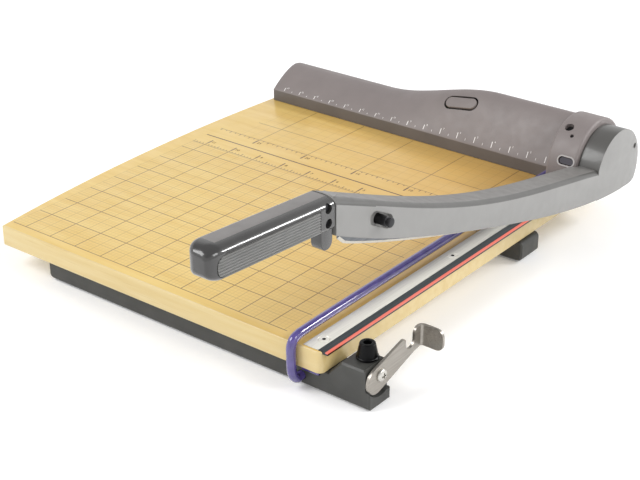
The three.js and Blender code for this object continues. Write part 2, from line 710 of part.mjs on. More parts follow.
function makeHead() {
  const { y, z } = PIVOT;
  const shape = new THREE.Shape();
  const backRise = Math.sqrt(HEAD.radius ** 2 - (BED.back - y) ** 2);
  const backAngle = Math.atan2(backRise, BED.back - y);
  shape.moveTo(HEAD.front, HEAD.bottom);
  shape.lineTo(BED.back, HEAD.bottom);
  shape.lineTo(BED.back, z + backRise);
  shape.absarc(y, z, HEAD.radius, backAngle, Math.PI * 1.06, false);
  const block = alongX(shape, HEAD.left, HEAD.right, HEAD.edge, 22);

  const windowPlace = onHead(WINDOW.x, WINDOW.angle);
  const windowHole = alongZ(stadium(WINDOW.length, WINDOW.width), -3.4, 4, 0, 6);
  const laserHole = cylinderZ(0, 0, 5, -26, 1, 18);
  const wireHole = cylinderX(0, 0, 2, -30, 0, 8).translate(0, 0, -22);
  const adjuster = onHead(ADJUSTER.x, ADJUSTER.angle);
  const adjusterHole = cylinderZ(0, 0, ADJUSTER.radius, -ADJUSTER.depth, 5, 16);
  const setScrew = onHead(SET_SCREW.x, SET_SCREW.angle);
  const setHole = cylinderZ(0, 0, SET_SCREW.radius, -SET_SCREW.depth, 5, 12);
  const tools = [
    windowHole.applyMatrix4(windowPlace.matrix),
    laserHole.applyMatrix4(windowPlace.matrix),
    wireHole.applyMatrix4(windowPlace.matrix),
    adjusterHole.applyMatrix4(adjuster.matrix),
    setHole.applyMatrix4(setScrew.matrix),
    cylinderX(y, z, NUT_POCKET.radius, HEAD.left - 1, HEAD.left + NUT_POCKET.depth, 24),
    cylinderX(y, z, BUSH.outer + GAP, HEAD.left, HEAD.right + 1, 20),
    cylinderX(y, z, BUSH.flange + GAP, BUSH.x1 - 1.2 - GAP, HEAD.right + 1, 20),
    ...HEAD_SCREWS.map(([screwX, screwY]) => cylinderZ(screwX, screwY, 2.2, -1, 9, 12)),
  ];
  add("pivot_head", cut(block, ...tools), "housing");

  HEAD_SCREWS.forEach(([screwX, screwY], index) => {
    const screw = add(`head_screw_${index + 1}`, turned(UNDER_SCREW), "darkSteel");
    screw.position.set(screwX, screwY, -12.3 - 2.4);
  });
  const pane = alongZ(stadium(WINDOW.length - 2 * GAP, WINDOW.width - 2 * GAP), -3, -1.2, 0.3, 6);
  add("laser_window", pane, "lens", windowPlace);
  const module = turned(
    [
      [0, -24],
      [4.6, -24],
      [4.6, -7],
      [3.4, -6],
      [3.4, -4],
      [0, -4],
    ],
    18,
  );
  add("laser_module", module, "bronze", windowPlace);
  add("gap_adjuster", cylinderZ(0, 0, 3.2, -6.6, -3.6, 16), "darkSteel", adjuster);
  add("lock_screw", cylinderZ(0, 0, 1.2, -4.7, -1.8, 10), "darkSteel", setScrew);

  const bush = turned(
    [
      [BUSH.inner, 0],
      [BUSH.outer, 0],
      [BUSH.outer, BUSH.x1 - BUSH.x0 - 1.2],
      [BUSH.flange, BUSH.x1 - BUSH.x0 - 1.2],
      [BUSH.flange, BUSH.x1 - BUSH.x0],
      [BUSH.inner, BUSH.x1 - BUSH.x0],
      [BUSH.inner, 0],
    ],
    20,
  );
  bush.rotateY(Math.PI / 2);
  add("pivot_bush", bush, "bronze").position.set(BUSH.x0, y, z);
}

// ---------------------------------------------------------------- arm, in hinge coordinates

const arm = new THREE.Group();
arm.position.set(0, PIVOT.y, PIVOT.z);
trimmer.add(arm);

function edgeHeight(edge, y) {
  return edge.terms.reduceRight((height, term) => height * (-y / 100) + term, 0);
}

function edgePoints(edge, count) {
  const points = [];
  for (let step = 0; step <= count; step += 1) {
    const y = THREE.MathUtils.lerp(edge.from, edge.to, step / count);
    points.push([y, edgeHeight(edge, y)]);
  }
  return points;
}

function underside(y) {
  return edgeHeight(ARM_BOTTOM, y);
}

function armOutline() {
  const shape = new THREE.Shape();
  const [corner, ...top] = edgePoints(ARM_TOP, 24);
  shape.moveTo(...corner);
  shape.absarc(0, 0, ARM.hubRadius, Math.atan2(corner[1], corner[0]), -0.5, true);
  shape.quadraticCurveTo(25.5, -18, 18, -17.8);
  edgePoints(ARM_BOTTOM, 26).forEach(([y, z]) => shape.lineTo(y, z));
  top.reverse().forEach(([y, z]) => shape.lineTo(y, z));
  return shape;
}

function tangOutline() {
  const shape = new THREE.Shape();
  shape.moveTo(-338, 89);
  shape.lineTo(-338, 102.4);
  shape.lineTo(-360, 103);
  shape.lineTo(TANG.end, 106);
  shape.lineTo(TANG.end, 97);
  shape.lineTo(-368, 93);
  shape.lineTo(-360, 89);
  return shape;
}

function catchSlot() {
  const slot = alongX(stadium(CATCH.slotLength, CATCH.slotWidth), ARM.outer - 3.6, ARM.outer + 2, 0, 6);
  slot.rotateX(THREE.MathUtils.degToRad(CATCH.tilt));
  return slot.translate(0, CATCH.y, CATCH.z);
}

function makeArm() {
  const bar = alongX(armOutline(), ARM.inner, ARM.outer, ARM.edge, 10);
  const tang = alongX(tangOutline(), TANG.inner, TANG.outer);
  const clearance = cylinderX(0, 0, ARM.headClearance, ARM.inner - 1, ARM.hubInner, 48);
  const screwHoles = BLADE_SCREWS.map((y) => cylinderX(y, underside(y) + 4, 1.9, 308, 319, 10));
  const holes = [
    clearance,
    catchSlot(),
    cylinderX(CATCH.y, CATCH.z, CATCH.radius + GAP, 317.7, 331, 16),
    cylinderX(0, 0, SHAFT_RADIUS + GAP, 312, 326.3, 20),
    cylinderX(HUB_HOLE.y, HUB_HOLE.z, HUB_HOLE.radius, ARM.outer - HUB_HOLE.depth, 332, 12),
    ...HANDLE_SCREWS.map(([y, z]) => cylinderX(y, z, 1.7, 313, 326, 10)),
    ...screwHoles,
  ];
  add("knife_arm", cut(join(bar, tang), ...holes), "arm", arm);
  add("catch_pin", cylinderX(CATCH.y, CATCH.z, CATCH.radius, 318, CATCH.tip, 16), "darkSteel", arm);
  const plugEnd = ARM.outer - HUB_HOLE.depth + 0.3;
  const plug = cylinderX(HUB_HOLE.y, HUB_HOLE.z, HUB_HOLE.radius - GAP, plugEnd, plugEnd + 3, 12);
  add("hub_set_screw", plug, "darkSteel", arm);

  const shaft = cylinderX(0, 0, SHAFT_RADIUS, 289.6, 326, 20);
  add("pivot_shaft", shaft, "steel", arm);
  const nut = cylinderX(0, 0, 8.5, 290.4, 296, 6);
  const nutBore = cylinderX(0, 0, SHAFT_RADIUS + GAP, 289, 297, 20);
  add("lock_nut", cut(nut, nutBore), "steel", arm);
  const spring = turned(
    [
      [5.3, 0],
      [10, 0.7],
      [10, 1.3],
      [5.3, 0.6],
      [5.3, 0],
    ],
    20,
  );
  spring.rotateY(Math.PI / 2).translate(296.4, 0, 0);
  add("disc_spring", spring, "steel", arm);
}

function bladeOutline() {
  const ys = [];
  const steps = 16;
  for (let step = 0; step <= steps; step += 1) {
    ys.push(BLADE.toe + ((BLADE.heel - BLADE.toe) * step) / steps);
  }
  const shape = new THREE.Shape();
  shape.moveTo(BLADE.toe, underside(BLADE.toe) + BLADE.grip);
  shape.lineTo(BLADE.toe, underside(BLADE.toe) - BLADE.drop + 3);
  ys.slice(1).forEach((y) => shape.lineTo(y, underside(y) - BLADE.drop));
  ys.reverse()
    .slice(0, -1)
    .forEach((y) => shape.lineTo(y, underside(y) + BLADE.grip));
  return shape;
}

function makeBlade() {
  const sheet = alongX(bladeOutline(), BLADE.inner, BLADE.outer);
  const holes = BLADE_SCREWS.flatMap((y) => [
    cylinderX(y, underside(y) + 4, 1.9, 306, 310, 10),
    cylinderX(y, underside(y) + 4, 3.9, 306, BLADE.inner + 1.5, 16),
  ]);
  add("knife_blade", cut(sheet, ...holes), "blade", arm);
  BLADE_SCREWS.forEach((y, index) => {
    const screw = turned([
      [0, 0],
      [3.6, 0],
      [3.6, 1.1],
      [1.6, 1.2],
      [1.6, 10],
      [0, 10.2],
    ]);
    screw.rotateY(Math.PI / 2);
    const place = add(`blade_screw_${index + 1}`, screw, "darkSteel", arm);
    place.position.set(BLADE.inner + 0.1, y, underside(y) + 4);
  });
}

// ---------------------------------------------------------------- handle

function handleHeight(y, share) {
  const { root, end, topRoot, topEnd, bottomRoot, bottomEnd } = HANDLE;
  const top = THREE.MathUtils.mapLinear(y, root, end, topRoot, topEnd);
  const bottom = THREE.MathUtils.mapLinear(y, root, end, bottomRoot, bottomEnd);
  return bottom + (top - bottom) * share;
}

// An outline that runs along the handle, square at the root and rounded at the far end.
function handleOutline(root, end, low, high, corner) {
  const shape = new THREE.Shape();
  const rootLow = handleHeight(root, low);
  const rootHigh = handleHeight(root, high);
  const endLow = handleHeight(end + corner, low);
  const endHigh = handleHeight(end + corner, high);
  shape.moveTo(root, rootLow);
  shape.lineTo(root, rootHigh);
  shape.lineTo(end + corner, endHigh);
  shape.quadraticCurveTo(end, endHigh, end, endHigh - corner);
  shape.lineTo(end, endLow + corner);
  shape.quadraticCurveTo(end, endLow, end + corner, endLow);
  return shape;
}

function guardOutline() {
  const { root, end, bottom, radius } = GUARD;
  const shape = new THREE.Shape();
  shape.moveTo(root, 90);
  shape.lineTo(end, 90);
  shape.lineTo(end, bottom + radius);
  shape.absarc(end + radius, bottom + radius, radius, Math.PI, 1.5 * Math.PI, false);
  shape.lineTo(root - radius, bottom);
  shape.absarc(root - radius, bottom + radius, radius, -Math.PI / 2, 0, false);
  return shape;
}

function makeHandle() {
  const outline = handleOutline(HANDLE.root, HANDLE.end, 0, 1, HANDLE.corner);
  const body = alongX(outline, HANDLE.inner, HANDLE.outer, HANDLE.edge, 5);
  const guard = alongX(guardOutline(), GUARD.inner, GUARD.outer, 1.5, 5);
  const socket = tangOutline();
  const cavity = alongX(socket, TANG.inner, TANG.outer);
  const grow = (dy, dz) => cavity.clone().translate(0, dy, dz);
  const cavities = [grow(-0.4, 0.4), grow(-0.4, -0.4), grow(0.4, 0.4), grow(0.4, -0.4)];
  const sides = cavities.flatMap((copy) => [
    copy.clone().translate(GAP, 0, 0),
    copy.clone().translate(-GAP, 0, 0),
  ]);
  const panelOutline = handleOutline(PANEL.root, PANEL.end, PANEL.bottom, PANEL.top, PANEL.corner);
  const panelDepth = HANDLE.outer - PANEL.depth;
  const panelSeat = alongX(panelOutline, panelDepth - GAP, HANDLE.outer + 2, 0, 5);
  const rootCut = box(300, 340, HANDLE.root, HANDLE.root + 30, 60, 130);
  const screwHoles = HANDLE_SCREWS.flatMap(([y, z]) => [
    cylinderX(y, z, 1.7, 311, 328, 10),
    cylinderX(y, z, 2.9, HANDLE.outer - 3.4, HANDLE.outer + 1, 14),
  ]);
  const tools = [...sides, panelSeat, rootCut, ...screwHoles];
  add("handle_grip", cut(join(body, guard), ...tools), "grip", arm);

  const shrink = 0.02;
  const low = PANEL.bottom + shrink;
  const panel = handleOutline(PANEL.root - GAP, PANEL.end + GAP, low, PANEL.top - shrink, PANEL.corner);
  add("grip_panel", alongX(panel, panelDepth, HANDLE.outer + 0.1, 0.4, 5), "grip", arm);
  HANDLE_SCREWS.forEach(([y, z], index) => {
    const screw = turned([
      [0, 0],
      [2.5, 0.3],
      [2.5, 1.4],
      [1.4, 1.6],
      [1.4, 14],
      [0, 14.2],
    ]);
    screw.rotateY(-Math.PI / 2);
    add(`handle_screw_${index + 1}`, screw, "darkSteel", arm).position.set(HANDLE.outer - 1.6, y, z);
  });
}

// ---------------------------------------------------------------- build

makeBed();
makeStrip();
makeFrontRail();
makeRearRail();
makeRailFasteners();
makeBumper();
makeLatch();
makeBand();
makeHousing();
makeButton();
makeElectronics();
makeHead();
makeArm();
makeBlade();
makeHandle();

export default trimmer;
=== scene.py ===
"""The looks of a guillotine paper cutter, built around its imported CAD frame.

Shapes are drawn in bed millimetres: X from the bed's left side to the knife, Y from the front edge
back, and Z up from the bed's top face. TO_FRAME carries them into the frame's metres.
"""

import json
import math
from functools import reduce

import bmesh
import bpy
from mathutils import Matrix, Vector


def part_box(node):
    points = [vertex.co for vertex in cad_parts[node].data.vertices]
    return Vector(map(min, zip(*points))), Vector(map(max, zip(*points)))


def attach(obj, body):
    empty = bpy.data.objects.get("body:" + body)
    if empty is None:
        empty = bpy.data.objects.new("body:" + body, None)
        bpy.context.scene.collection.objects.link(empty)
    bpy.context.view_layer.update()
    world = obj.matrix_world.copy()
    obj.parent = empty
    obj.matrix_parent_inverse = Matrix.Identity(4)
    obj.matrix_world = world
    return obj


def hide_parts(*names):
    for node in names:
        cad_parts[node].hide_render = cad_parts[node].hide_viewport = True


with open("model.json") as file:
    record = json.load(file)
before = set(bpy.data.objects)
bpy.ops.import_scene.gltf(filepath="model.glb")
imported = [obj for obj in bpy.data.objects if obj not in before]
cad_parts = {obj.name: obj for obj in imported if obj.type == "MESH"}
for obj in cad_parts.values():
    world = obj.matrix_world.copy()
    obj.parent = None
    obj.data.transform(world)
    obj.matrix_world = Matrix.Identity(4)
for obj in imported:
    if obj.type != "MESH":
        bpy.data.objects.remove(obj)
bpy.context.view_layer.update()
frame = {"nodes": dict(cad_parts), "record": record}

MM = 0.001
BED = {"front": -9, "back": 352, "right": 303.3, "left_front": 10.5, "left_back": 7, "bow": -13.75}
BED_THICKNESS = 15.7
board_low, board_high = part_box("bed_board")
ORIGIN = Vector((board_high.x - BED["right"] * MM, board_low.y - BED["front"] * MM, board_high.z))
TO_FRAME = Matrix.Translation(ORIGIN) @ Matrix.Scale(MM, 4)
INCH = 25.4

# ------------ camera, light and floor

CAMERA_PLACE = (0.6110, -0.7288, 0.5006)
CAMERA_ANGLES = (38.399, 26.623, -0.306)
CAMERA_LENS = 83.14
SENSOR_WIDTH = 36
LIGHTS = (
    ("key_box", (-0.9, -1.3, 1.7), (0, 0, 0), (1.2, 1.2), 30),
    ("fill_box", (1.5, 0.2, 1.3), (0, 0, 0.02), (0.7, 0.7), 9),
    ("strip_box", (0.92, 0.99, 0.81), (0.15, -0.24, 0.14), (0.5, 0.2), 10),
)
FLOOR_REACH = 9
FLOOR_GAP = 0.0002


def make_camera():
    """Set by its azimuth, elevation and roll in degrees."""
    camera = bpy.data.objects.new("camera", bpy.data.cameras.new("camera"))
    bpy.context.scene.collection.objects.link(camera)
    camera.data.sensor_width = SENSOR_WIDTH
    camera.data.lens = CAMERA_LENS
    camera.location = CAMERA_PLACE
    azimuth, elevation, roll = (math.radians(angle) for angle in CAMERA_ANGLES)
    turn = Matrix.Rotation(azimuth, 3, "Z") @ Matrix.Rotation(math.pi / 2 - elevation, 3, "X")
    camera.rotation_euler = (turn @ Matrix.Rotation(roll, 3, "Z")).to_euler()
    bpy.context.scene.camera = camera


def make_area_light(name, place, aim, size, power):
    light = bpy.data.lights.new(name, "AREA")
    light.shape = "RECTANGLE"
    light.size, light.size_y = size
    light.energy = power
    lamp = bpy.data.objects.new(name, light)
    lamp.location = place
    lamp.rotation_euler = (Vector(aim) - Vector(place)).to_track_quat("-Z", "Y").to_euler()
    bpy.context.scene.collection.objects.link(lamp)


def make_studio():
    """White low down all round and darker overhead, as in a tent, with soft boxes above."""
    world = bpy.data.worlds.new("studio")
    bpy.context.scene.world = world
    world.use_nodes = True
    nodes, links = world.node_tree.nodes, world.node_tree.links
    direction = nodes.new("ShaderNodeTexCoord")
    split = nodes.new("ShaderNodeSeparateXYZ")
    links.new(direction.outputs["Generated"], split.inputs[0])
    ramp = nodes.new("ShaderNodeValToRGB")
    links.new(split.outputs["Z"], ramp.inputs[0])
    stops = ramp.color_ramp.elements
    stops[0].position, stops[0].color = 0.0, (1, 1, 1, 1)
    stops[1].position, stops[1].color = 0.9, (0.36, 0.36, 0.37, 1)
    low = stops.new(0.55)
    low.color = (0.95, 0.95, 0.95, 1)
    high = stops.new(0.72)
    high.color = (0.3, 0.3, 0.31, 1)
    links.new(ramp.outputs[0], nodes["Background"].inputs["Color"])
    nodes["Background"].inputs["Strength"].default_value = 1.0
    for name, place, aim, size, power in LIGHTS:
        make_area_light(name, place, aim, size, power)


def make_floor():
    mesh = bpy.data.meshes.new("floor")
    signs = ((-1, -1), (1, -1), (1, 1), (-1, 1))
    corners = [(FLOOR_REACH * u, FLOOR_REACH * v, 0) for u, v in signs]
    mesh.from_pydata(corners, [], [(0, 1, 2, 3)])
    floor = bpy.data.objects.new("floor", mesh)
    bpy.context.scene.collection.objects.link(floor)
    floor.location.z = -FLOOR_GAP
    paint = Paint("floor_paper", (0.93, 0.93, 0.93), 0.85)
    paint.vary_color(3.0, (0.92, 0.92, 0.92), (0.95, 0.95, 0.95))
    paint.shader.inputs["Emission Color"].default_value = (1, 1, 1, 1)
    paint.shader.inputs["Emission Strength"].default_value = 0.12
    mesh.materials.append(paint.material)


# ------------ materials

LINE_BLUR = 0.12


class Paint:
    """A node material with one Principled shader, fed by the piece's own object coordinates."""

    def __init__(self, name, color, roughness, metallic=0.0, **sockets):
        self.material = bpy.data.materials.new(name)
        self.material.use_nodes = True
        self.tree = self.material.node_tree
        self.shader = self.tree.nodes["Principled BSDF"]
        self.shader.inputs["Base Color"].default_value = (*color, 1)
        self.shader.inputs["Roughness"].default_value = roughness
        self.shader.inputs["Metallic"].default_value = metallic
        for socket, value in sockets.items():
            self.shader.inputs[socket.replace("_", " ")].default_value = value
        self.place = self.node("ShaderNodeTexCoord").outputs["Object"]

    def node(self, kind, values=(), **settings):
        """A node with its settings, whose inputs take sockets as links and numbers as they are."""
        made = self.tree.nodes.new(kind)
        for setting, value in settings.items():
            setattr(made, setting, value)
        for index, value in enumerate(values):
            if value is None:
                continue
            if isinstance(value, bpy.types.NodeSocket):
                self.tree.links.new(value, made.inputs[index])
            else:
                made.inputs[index].default_value = value
        return made

    def link(self, output, socket):
        self.tree.links.new(output, self.shader.inputs[socket])

    def math(self, operation, *values):
        return self.node("ShaderNodeMath", values, operation=operation).outputs[0]

    def bed_axes(self):
        """X, Y and Z in bed millimetres."""
        moved = self.node("ShaderNodeVectorMath", (self.place, ORIGIN), operation="SUBTRACT")
        scaled = self.node("ShaderNodeVectorMath", (moved.outputs[0],), operation="SCALE")
        scaled.inputs["Scale"].default_value = 1 / MM
        return self.node("ShaderNodeSeparateXYZ", (scaled.outputs[0],)).outputs

    def noise(self, scale, stretch=(1, 1, 1), detail=3.0):
        """Noise with features about 1 / scale metres across, drawn out where stretch is small."""
        grown = self.node("ShaderNodeVectorMath", (self.place, stretch), operation="MULTIPLY")
        made = self.node("ShaderNodeTexNoise", (grown.outputs[0],))
        made.inputs["Scale"].default_value = scale
        made.inputs["Detail"].default_value = detail
        return made.outputs["Fac"]

    def remap(self, value, low, high, to_low=0.0, to_high=1.0):
        return self.node("ShaderNodeMapRange", (value, low, high, to_low, to_high)).outputs[0]

    def mix(self, share, color_a, color_b):
        made = self.node("ShaderNodeMix", data_type="RGBA")
        for socket, value in zip(("Factor", "A", "B"), (share, color_a, color_b)):
            target = [i for i in made.inputs if i.name == socket and i.enabled][-1]
            if isinstance(value, bpy.types.NodeSocket):
                self.tree.links.new(value, target)
            elif socket == "Factor":
                target.default_value = value
            else:
                target.default_value = (*value, 1)
        return next(o for o in made.outputs if o.enabled)

    def vary_color(self, scale, color_a, color_b, stretch=(1, 1, 1)):
        share = self.remap(self.noise(scale, stretch), 0.35, 0.65)
        self.link(self.mix(share, color_a, color_b), "Base Color")

    def vary_roughness(self, scale, low, high, stretch=(1, 1, 1)):
        self.link(self.remap(self.noise(scale, stretch), 0.3, 0.7, low, high), "Roughness")

    def add_bump(self, height, strength, distance):
        bump = self.node("ShaderNodeBump")
        bump.inputs["Strength"].default_value = strength
        bump.inputs["Distance"].default_value = distance
        self.tree.links.new(height, bump.inputs["Height"])
        self.link(bump.outputs["Normal"], "Normal")

    def lines(self, axis, spacing, offset, width):
        """1 on lines of that width across the axis, one every spacing from offset."""
        distance = self.math("PINGPONG", self.math("SUBTRACT", axis, offset), spacing / 2)
        return self.remap(distance, width / 2 + LINE_BLUR, width / 2 - LINE_BLUR)

    def within(self, axis, low, high):
        above = self.math("GREATER_THAN", axis, low)
        return self.math("MULTIPLY", above, self.math("LESS_THAN", axis, high))

    def both(self, *masks):
        return reduce(lambda made, mask: self.math("MULTIPLY", made, mask), masks)

    def either(self, *masks):
        return reduce(lambda made, mask: self.math("MAXIMUM", made, mask), masks)


def shades(color, spread):
    """A darker and a lighter shade of a colour."""
    return tuple(c * (1 - spread) for c in color), tuple(min(1, c * (1 + spread)) for c in color)


def plastic(name, color, roughness, spread=0.08, grain=0.06, **sockets):
    """Moulded plastic: a faint cloud in the colour, uneven gloss and a fine moulded grain."""
    paint = Paint(name, color, roughness, **sockets)
    paint.vary_color(45, *shades(color, spread))
    paint.vary_roughness(130, roughness - 0.05, roughness + 0.07)
    paint.add_bump(paint.noise(2400, detail=2.0), grain, 0.00006)
    return paint


def brushed(name, color, roughness, along, spread=0.1, metallic=1.0):
    """Metal brushed along one axis, with drawn-out scratches in colour, gloss and height."""
    paint = Paint(name, color, roughness, metallic)
    stretch = tuple(0.03 if axis == along else 1.0 for axis in "xyz")
    paint.vary_color(900, *shades(color, spread), stretch)
    paint.vary_roughness(1500, roughness - 0.06, roughness + 0.1, stretch)
    paint.add_bump(paint.noise(2600, stretch), 0.12, 0.00004)
    return paint


RULER = {"low": 191.8, "middle": 208.5, "high": 225.6, "zero": 304.8, "end": 296}
GRID = {"left": 12.6, "right": 269.2, "front": -0.4}
METRIC_GRID = {"left": 30, "back": 301, "zero": 254}
WOOD_TONES = ((0.71, 0.51, 0.16), (0.66, 0.445, 0.115), (0.50, 0.30, 0.07))
EDGE_TONES = ((0.66, 0.53, 0.27), (0.61, 0.46, 0.20), (0.46, 0.31, 0.11))
WARM_CORNER = (0.50, 0.26, 0.065)
PRINT_INK = (0.10, 0.05, 0.012)
LASER_LINE = {"left": 304.7, "right": 306.6, "low": -0.6, "color": (0.95, 0.17, 0.10)}


def printed_grid(paint):
    """How dark the print is: the inch grid, the two rulers and the centimetre grid behind them."""
    x, y, _ = paint.bed_axes()
    across = paint.within(x, GRID["left"], GRID["right"])
    grid_area = paint.both(across, paint.within(y, GRID["front"], RULER["low"]))
    grid = []
    for share, spacing, width in ((0.85, INCH, 0.72), (0.42, INCH / 2, 0.5), (0.2, INCH / 8, 0.36)):
        crossing = [paint.lines(axis, spacing, 0, width) for axis in (x, y)]
        grid.append(paint.math("MULTIPLY", paint.either(*crossing), share))
    inches = paint.both(grid_area, paint.either(*grid))

    ruler_span = paint.within(x, GRID["left"], RULER["end"])
    rules = []
    for place, width, share in (("low", 0.6, 0.8), ("middle", 1.3, 1.0), ("high", 0.6, 0.8)):
        half = width / 2
        band = paint.within(y, RULER[place] - half, RULER[place] + half)
        rules.append(paint.math("MULTIPLY", band, share))
    low, high, zero = RULER["low"], RULER["high"], RULER["zero"]
    marks = [
        paint.both(paint.lines(x, INCH / 8, zero, 0.6), paint.within(y, low, low + 2)),
        paint.both(paint.lines(x, INCH / 2, zero, 0.7), paint.within(y, low, low + 3.4)),
        paint.both(paint.lines(x, INCH, zero, 1.2), paint.within(y, low + 3, low + 10)),
        paint.both(paint.lines(x, 5, zero, 0.6), paint.within(y, high - 2, high)),
        paint.both(paint.lines(x, 10, zero, 0.7), paint.within(y, high - 3, high)),
        paint.both(paint.lines(x, 50, zero, 1.3), paint.within(y, high - 9, high - 2)),
    ]
    rulers = paint.both(ruler_span, paint.either(*rules, *marks))

    across = paint.within(x, METRIC_GRID["left"], RULER["end"])
    behind = paint.both(across, paint.within(y, high, METRIC_GRID["back"]))
    metric = []
    for share, spacing, width in ((0.72, 50, 0.7), (0.25, 10, 0.35)):
        starts = ((x, zero), (y, METRIC_GRID["zero"]))
        crossing = [paint.lines(axis, spacing, start, width) for axis, start in starts]
        metric.append(paint.math("MULTIPLY", paint.either(*crossing), share))
    return paint.either(inches, rulers, paint.both(behind, paint.either(*metric)))


def make_wood(printed):
    """Pale lacquered board. The printed kind, for the top face, carries the grid and rulers."""
    name = "printed_board" if printed else "board_edge"
    paint = Paint(name, (0.8, 0.6, 0.3), 0.34, Coat_Weight=0.25, Coat_Roughness=0.12)
    pale, warm, dark = WOOD_TONES if printed else EDGE_TONES
    streaks = paint.remap(paint.noise(160, (0.09, 1, 1), 5.0), 0.38, 0.66)
    grain = paint.mix(streaks, pale, warm)
    fibres = paint.noise(1500, (0.025, 1, 1), 2.0)
    pores = paint.remap(fibres, 0.62, 0.75, 0.0, 0.45)
    toned = paint.mix(pores, grain, dark)
    clouds = paint.remap(paint.noise(9, (1, 1, 1), 1.0), 0.3, 0.75, 0.0, 0.45)
    wood = paint.mix(clouds, toned, warm)
    if printed:
        x, y, _ = paint.bed_axes()
        # The top is mixed towards a darker, warmer tone towards the back right corner.
        far = paint.math("ADD", x, paint.math("MULTIPLY", y, 0.75))
        wood = paint.mix(paint.remap(far, 180, 520, 0.0, 0.75), wood, WARM_CORNER)
        wood = paint.mix(printed_grid(paint), wood, PRINT_INK)
    paint.link(wood, "Base Color")
    paint.vary_roughness(60, 0.28, 0.42)
    paint.add_bump(fibres, 0.08, 0.00008)
    return paint


def make_knife_edge():
    """Dark ground steel, with the thin red line of laser light painted on as a glow along its right
    edge.
    """
    paint = brushed("fixed_knife_steel", (0.075, 0.085, 0.09), 0.36, "y", 0.15)
    x, _, z = paint.bed_axes()
    across = paint.within(x, LASER_LINE["left"], LASER_LINE["right"])
    lit = paint.both(across, paint.math("GREATER_THAN", z, LASER_LINE["low"]))
    paint.link(paint.mix(lit, (0, 0, 0), LASER_LINE["color"]), "Emission Color")
    paint.shader.inputs["Emission Strength"].default_value = 0.85
    return paint


def make_band_gel():
    paint = Paint("band_gel", (0.06, 0.045, 0.2), 0.14, Coat_Weight=1.0, Coat_Roughness=0.05)
    paint.vary_color(120, (0.052, 0.038, 0.18), (0.085, 0.06, 0.25))
    paint.vary_roughness(300, 0.12, 0.22)
    return paint


HOUSING_GREY = (0.205, 0.178, 0.172)
ARM_GREY = (0.225, 0.222, 0.214)

PAINTS = {
    "wood": make_wood(False),
    "rail": plastic("rail_plastic", (0.042, 0.042, 0.038), 0.46, 0.12, 0.12),
    "rubber": plastic("rubber", (0.003, 0.003, 0.0035), 0.3, 0.2, 0.1, Specular_IOR_Level=0.14),
    "housing": plastic("housing_plastic", HOUSING_GREY, 0.48, 0.04),
    "arm": plastic("arm_coat", ARM_GREY, 0.38, 0.03, 0.05, Coat_Weight=0.2),
    "grip": plastic("grip_plastic", (0.040, 0.039, 0.038), 0.2, 0.08, 0.02, Coat_Weight=0.5),
    "steel": brushed("brushed_steel", (0.60, 0.585, 0.545), 0.34, "y"),
    "blade": brushed("blade_steel", (0.16, 0.17, 0.18), 0.33, "y", 0.15),
    "dark_steel": plastic("black_zinc", (0.022, 0.022, 0.024), 0.38, 0.2, 0.1, metallic=0.6),
    "bronze": brushed("turned_bronze", (0.45, 0.27, 0.10), 0.4, "x"),
    "band": make_band_gel(),
    "lens": plastic("window_lens", (0.020, 0.014, 0.028), 0.08, 0.2, 0.01, Coat_Weight=1.0),
    "board": plastic("circuit_green", (0.02, 0.14, 0.045), 0.4),
    "cell": plastic("cell_sleeve", (0.42, 0.29, 0.06), 0.3, metallic=0.5),
}
PRINTED_WOOD = make_wood(True)
KNIFE_EDGE = make_knife_edge()
# Painted shade: a dark grey standing in for the dark reflection along the arm's top outer fillet,
# also used to darken the hub's round wall.
ARM_EDGE_PAINTED_SHADE = plastic("arm_edge_painted_shade", (0.085, 0.083, 0.078), 0.34, 0.05, 0.04, Coat_Weight=0.2)
# Painted shade: the arm's top faces are given a darker grey than its sides.
ARM_ROOF_PAINTED_SHADE = plastic("arm_roof_painted_shade", (0.165, 0.158, 0.15), 0.4, 0.04, 0.05)
HOUSING_SHADE = plastic("housing_front", (0.118, 0.104, 0.097), 0.42, 0.06, 0.08)
GRIP_PANEL = plastic("grip_panel", (0.122, 0.122, 0.116), 0.42, 0.06, 0.05)
# Painted sheen: the grip's flat top is given a lighter grey than the rest of the dark grip.
GRIP_TOP_PAINTED_SHEEN = plastic("grip_top_painted_sheen", (0.16, 0.15, 0.145), 0.34, 0.05, 0.04)
WHITE_INK = plastic("white_ink", (0.80, 0.78, 0.76), 0.5, 0.05)
BROWN_INK = plastic("brown_ink", (0.10, 0.055, 0.02), 0.55, 0.1)
PALE_STEEL = brushed("strip_steel", (0.80, 0.78, 0.70), 0.38, "y", 0.05, 0.45)

# ------------ outlines


def spaced(start, end, count):
    """Numbers from start to end in equal steps, both ends included."""
    return [start + (end - start) * step / count for step in range(count + 1)]


def oval(center, wide, deep, start, end, steps):
    """Points on an ellipse from one angle to another, in degrees, both ends included."""
    angles = [math.radians(angle) for angle in spaced(start, end, steps)]
    return [(center[0] + wide * math.cos(a), center[1] + deep * math.sin(a)) for a in angles]


def arc(center, radius, start, end, steps):
    return oval(center, radius, radius, start, end, steps)


def rectangle(u0, u1, v0, v1, radius, steps=6):
    return [
        *arc((u1 - radius, v0 + radius), radius, -90, 0, steps),
        *arc((u1 - radius, v1 - radius), radius, 0, 90, steps),
        *arc((u0 + radius, v1 - radius), radius, 90, 180, steps),
        *arc((u0 + radius, v0 + radius), radius, 180, 270, steps),
    ]


def stadium(length, width, steps=12):
    half = (length - width) / 2
    right = arc((half, 0), width / 2, -90, 90, steps)
    return right + arc((-half, 0), width / 2, 90, 270, steps)


def bend(start, control, end, steps):
    """A quadratic curve, both ends included."""
    points = []
    for t in spaced(0, 1, steps):
        weights = ((1 - t) ** 2, 2 * t * (1 - t), t * t)
        spots = list(zip(weights, (start, control, end)))
        points.append(tuple(sum(w * spot[axis] for w, spot in spots) for axis in (0, 1)))
    return points


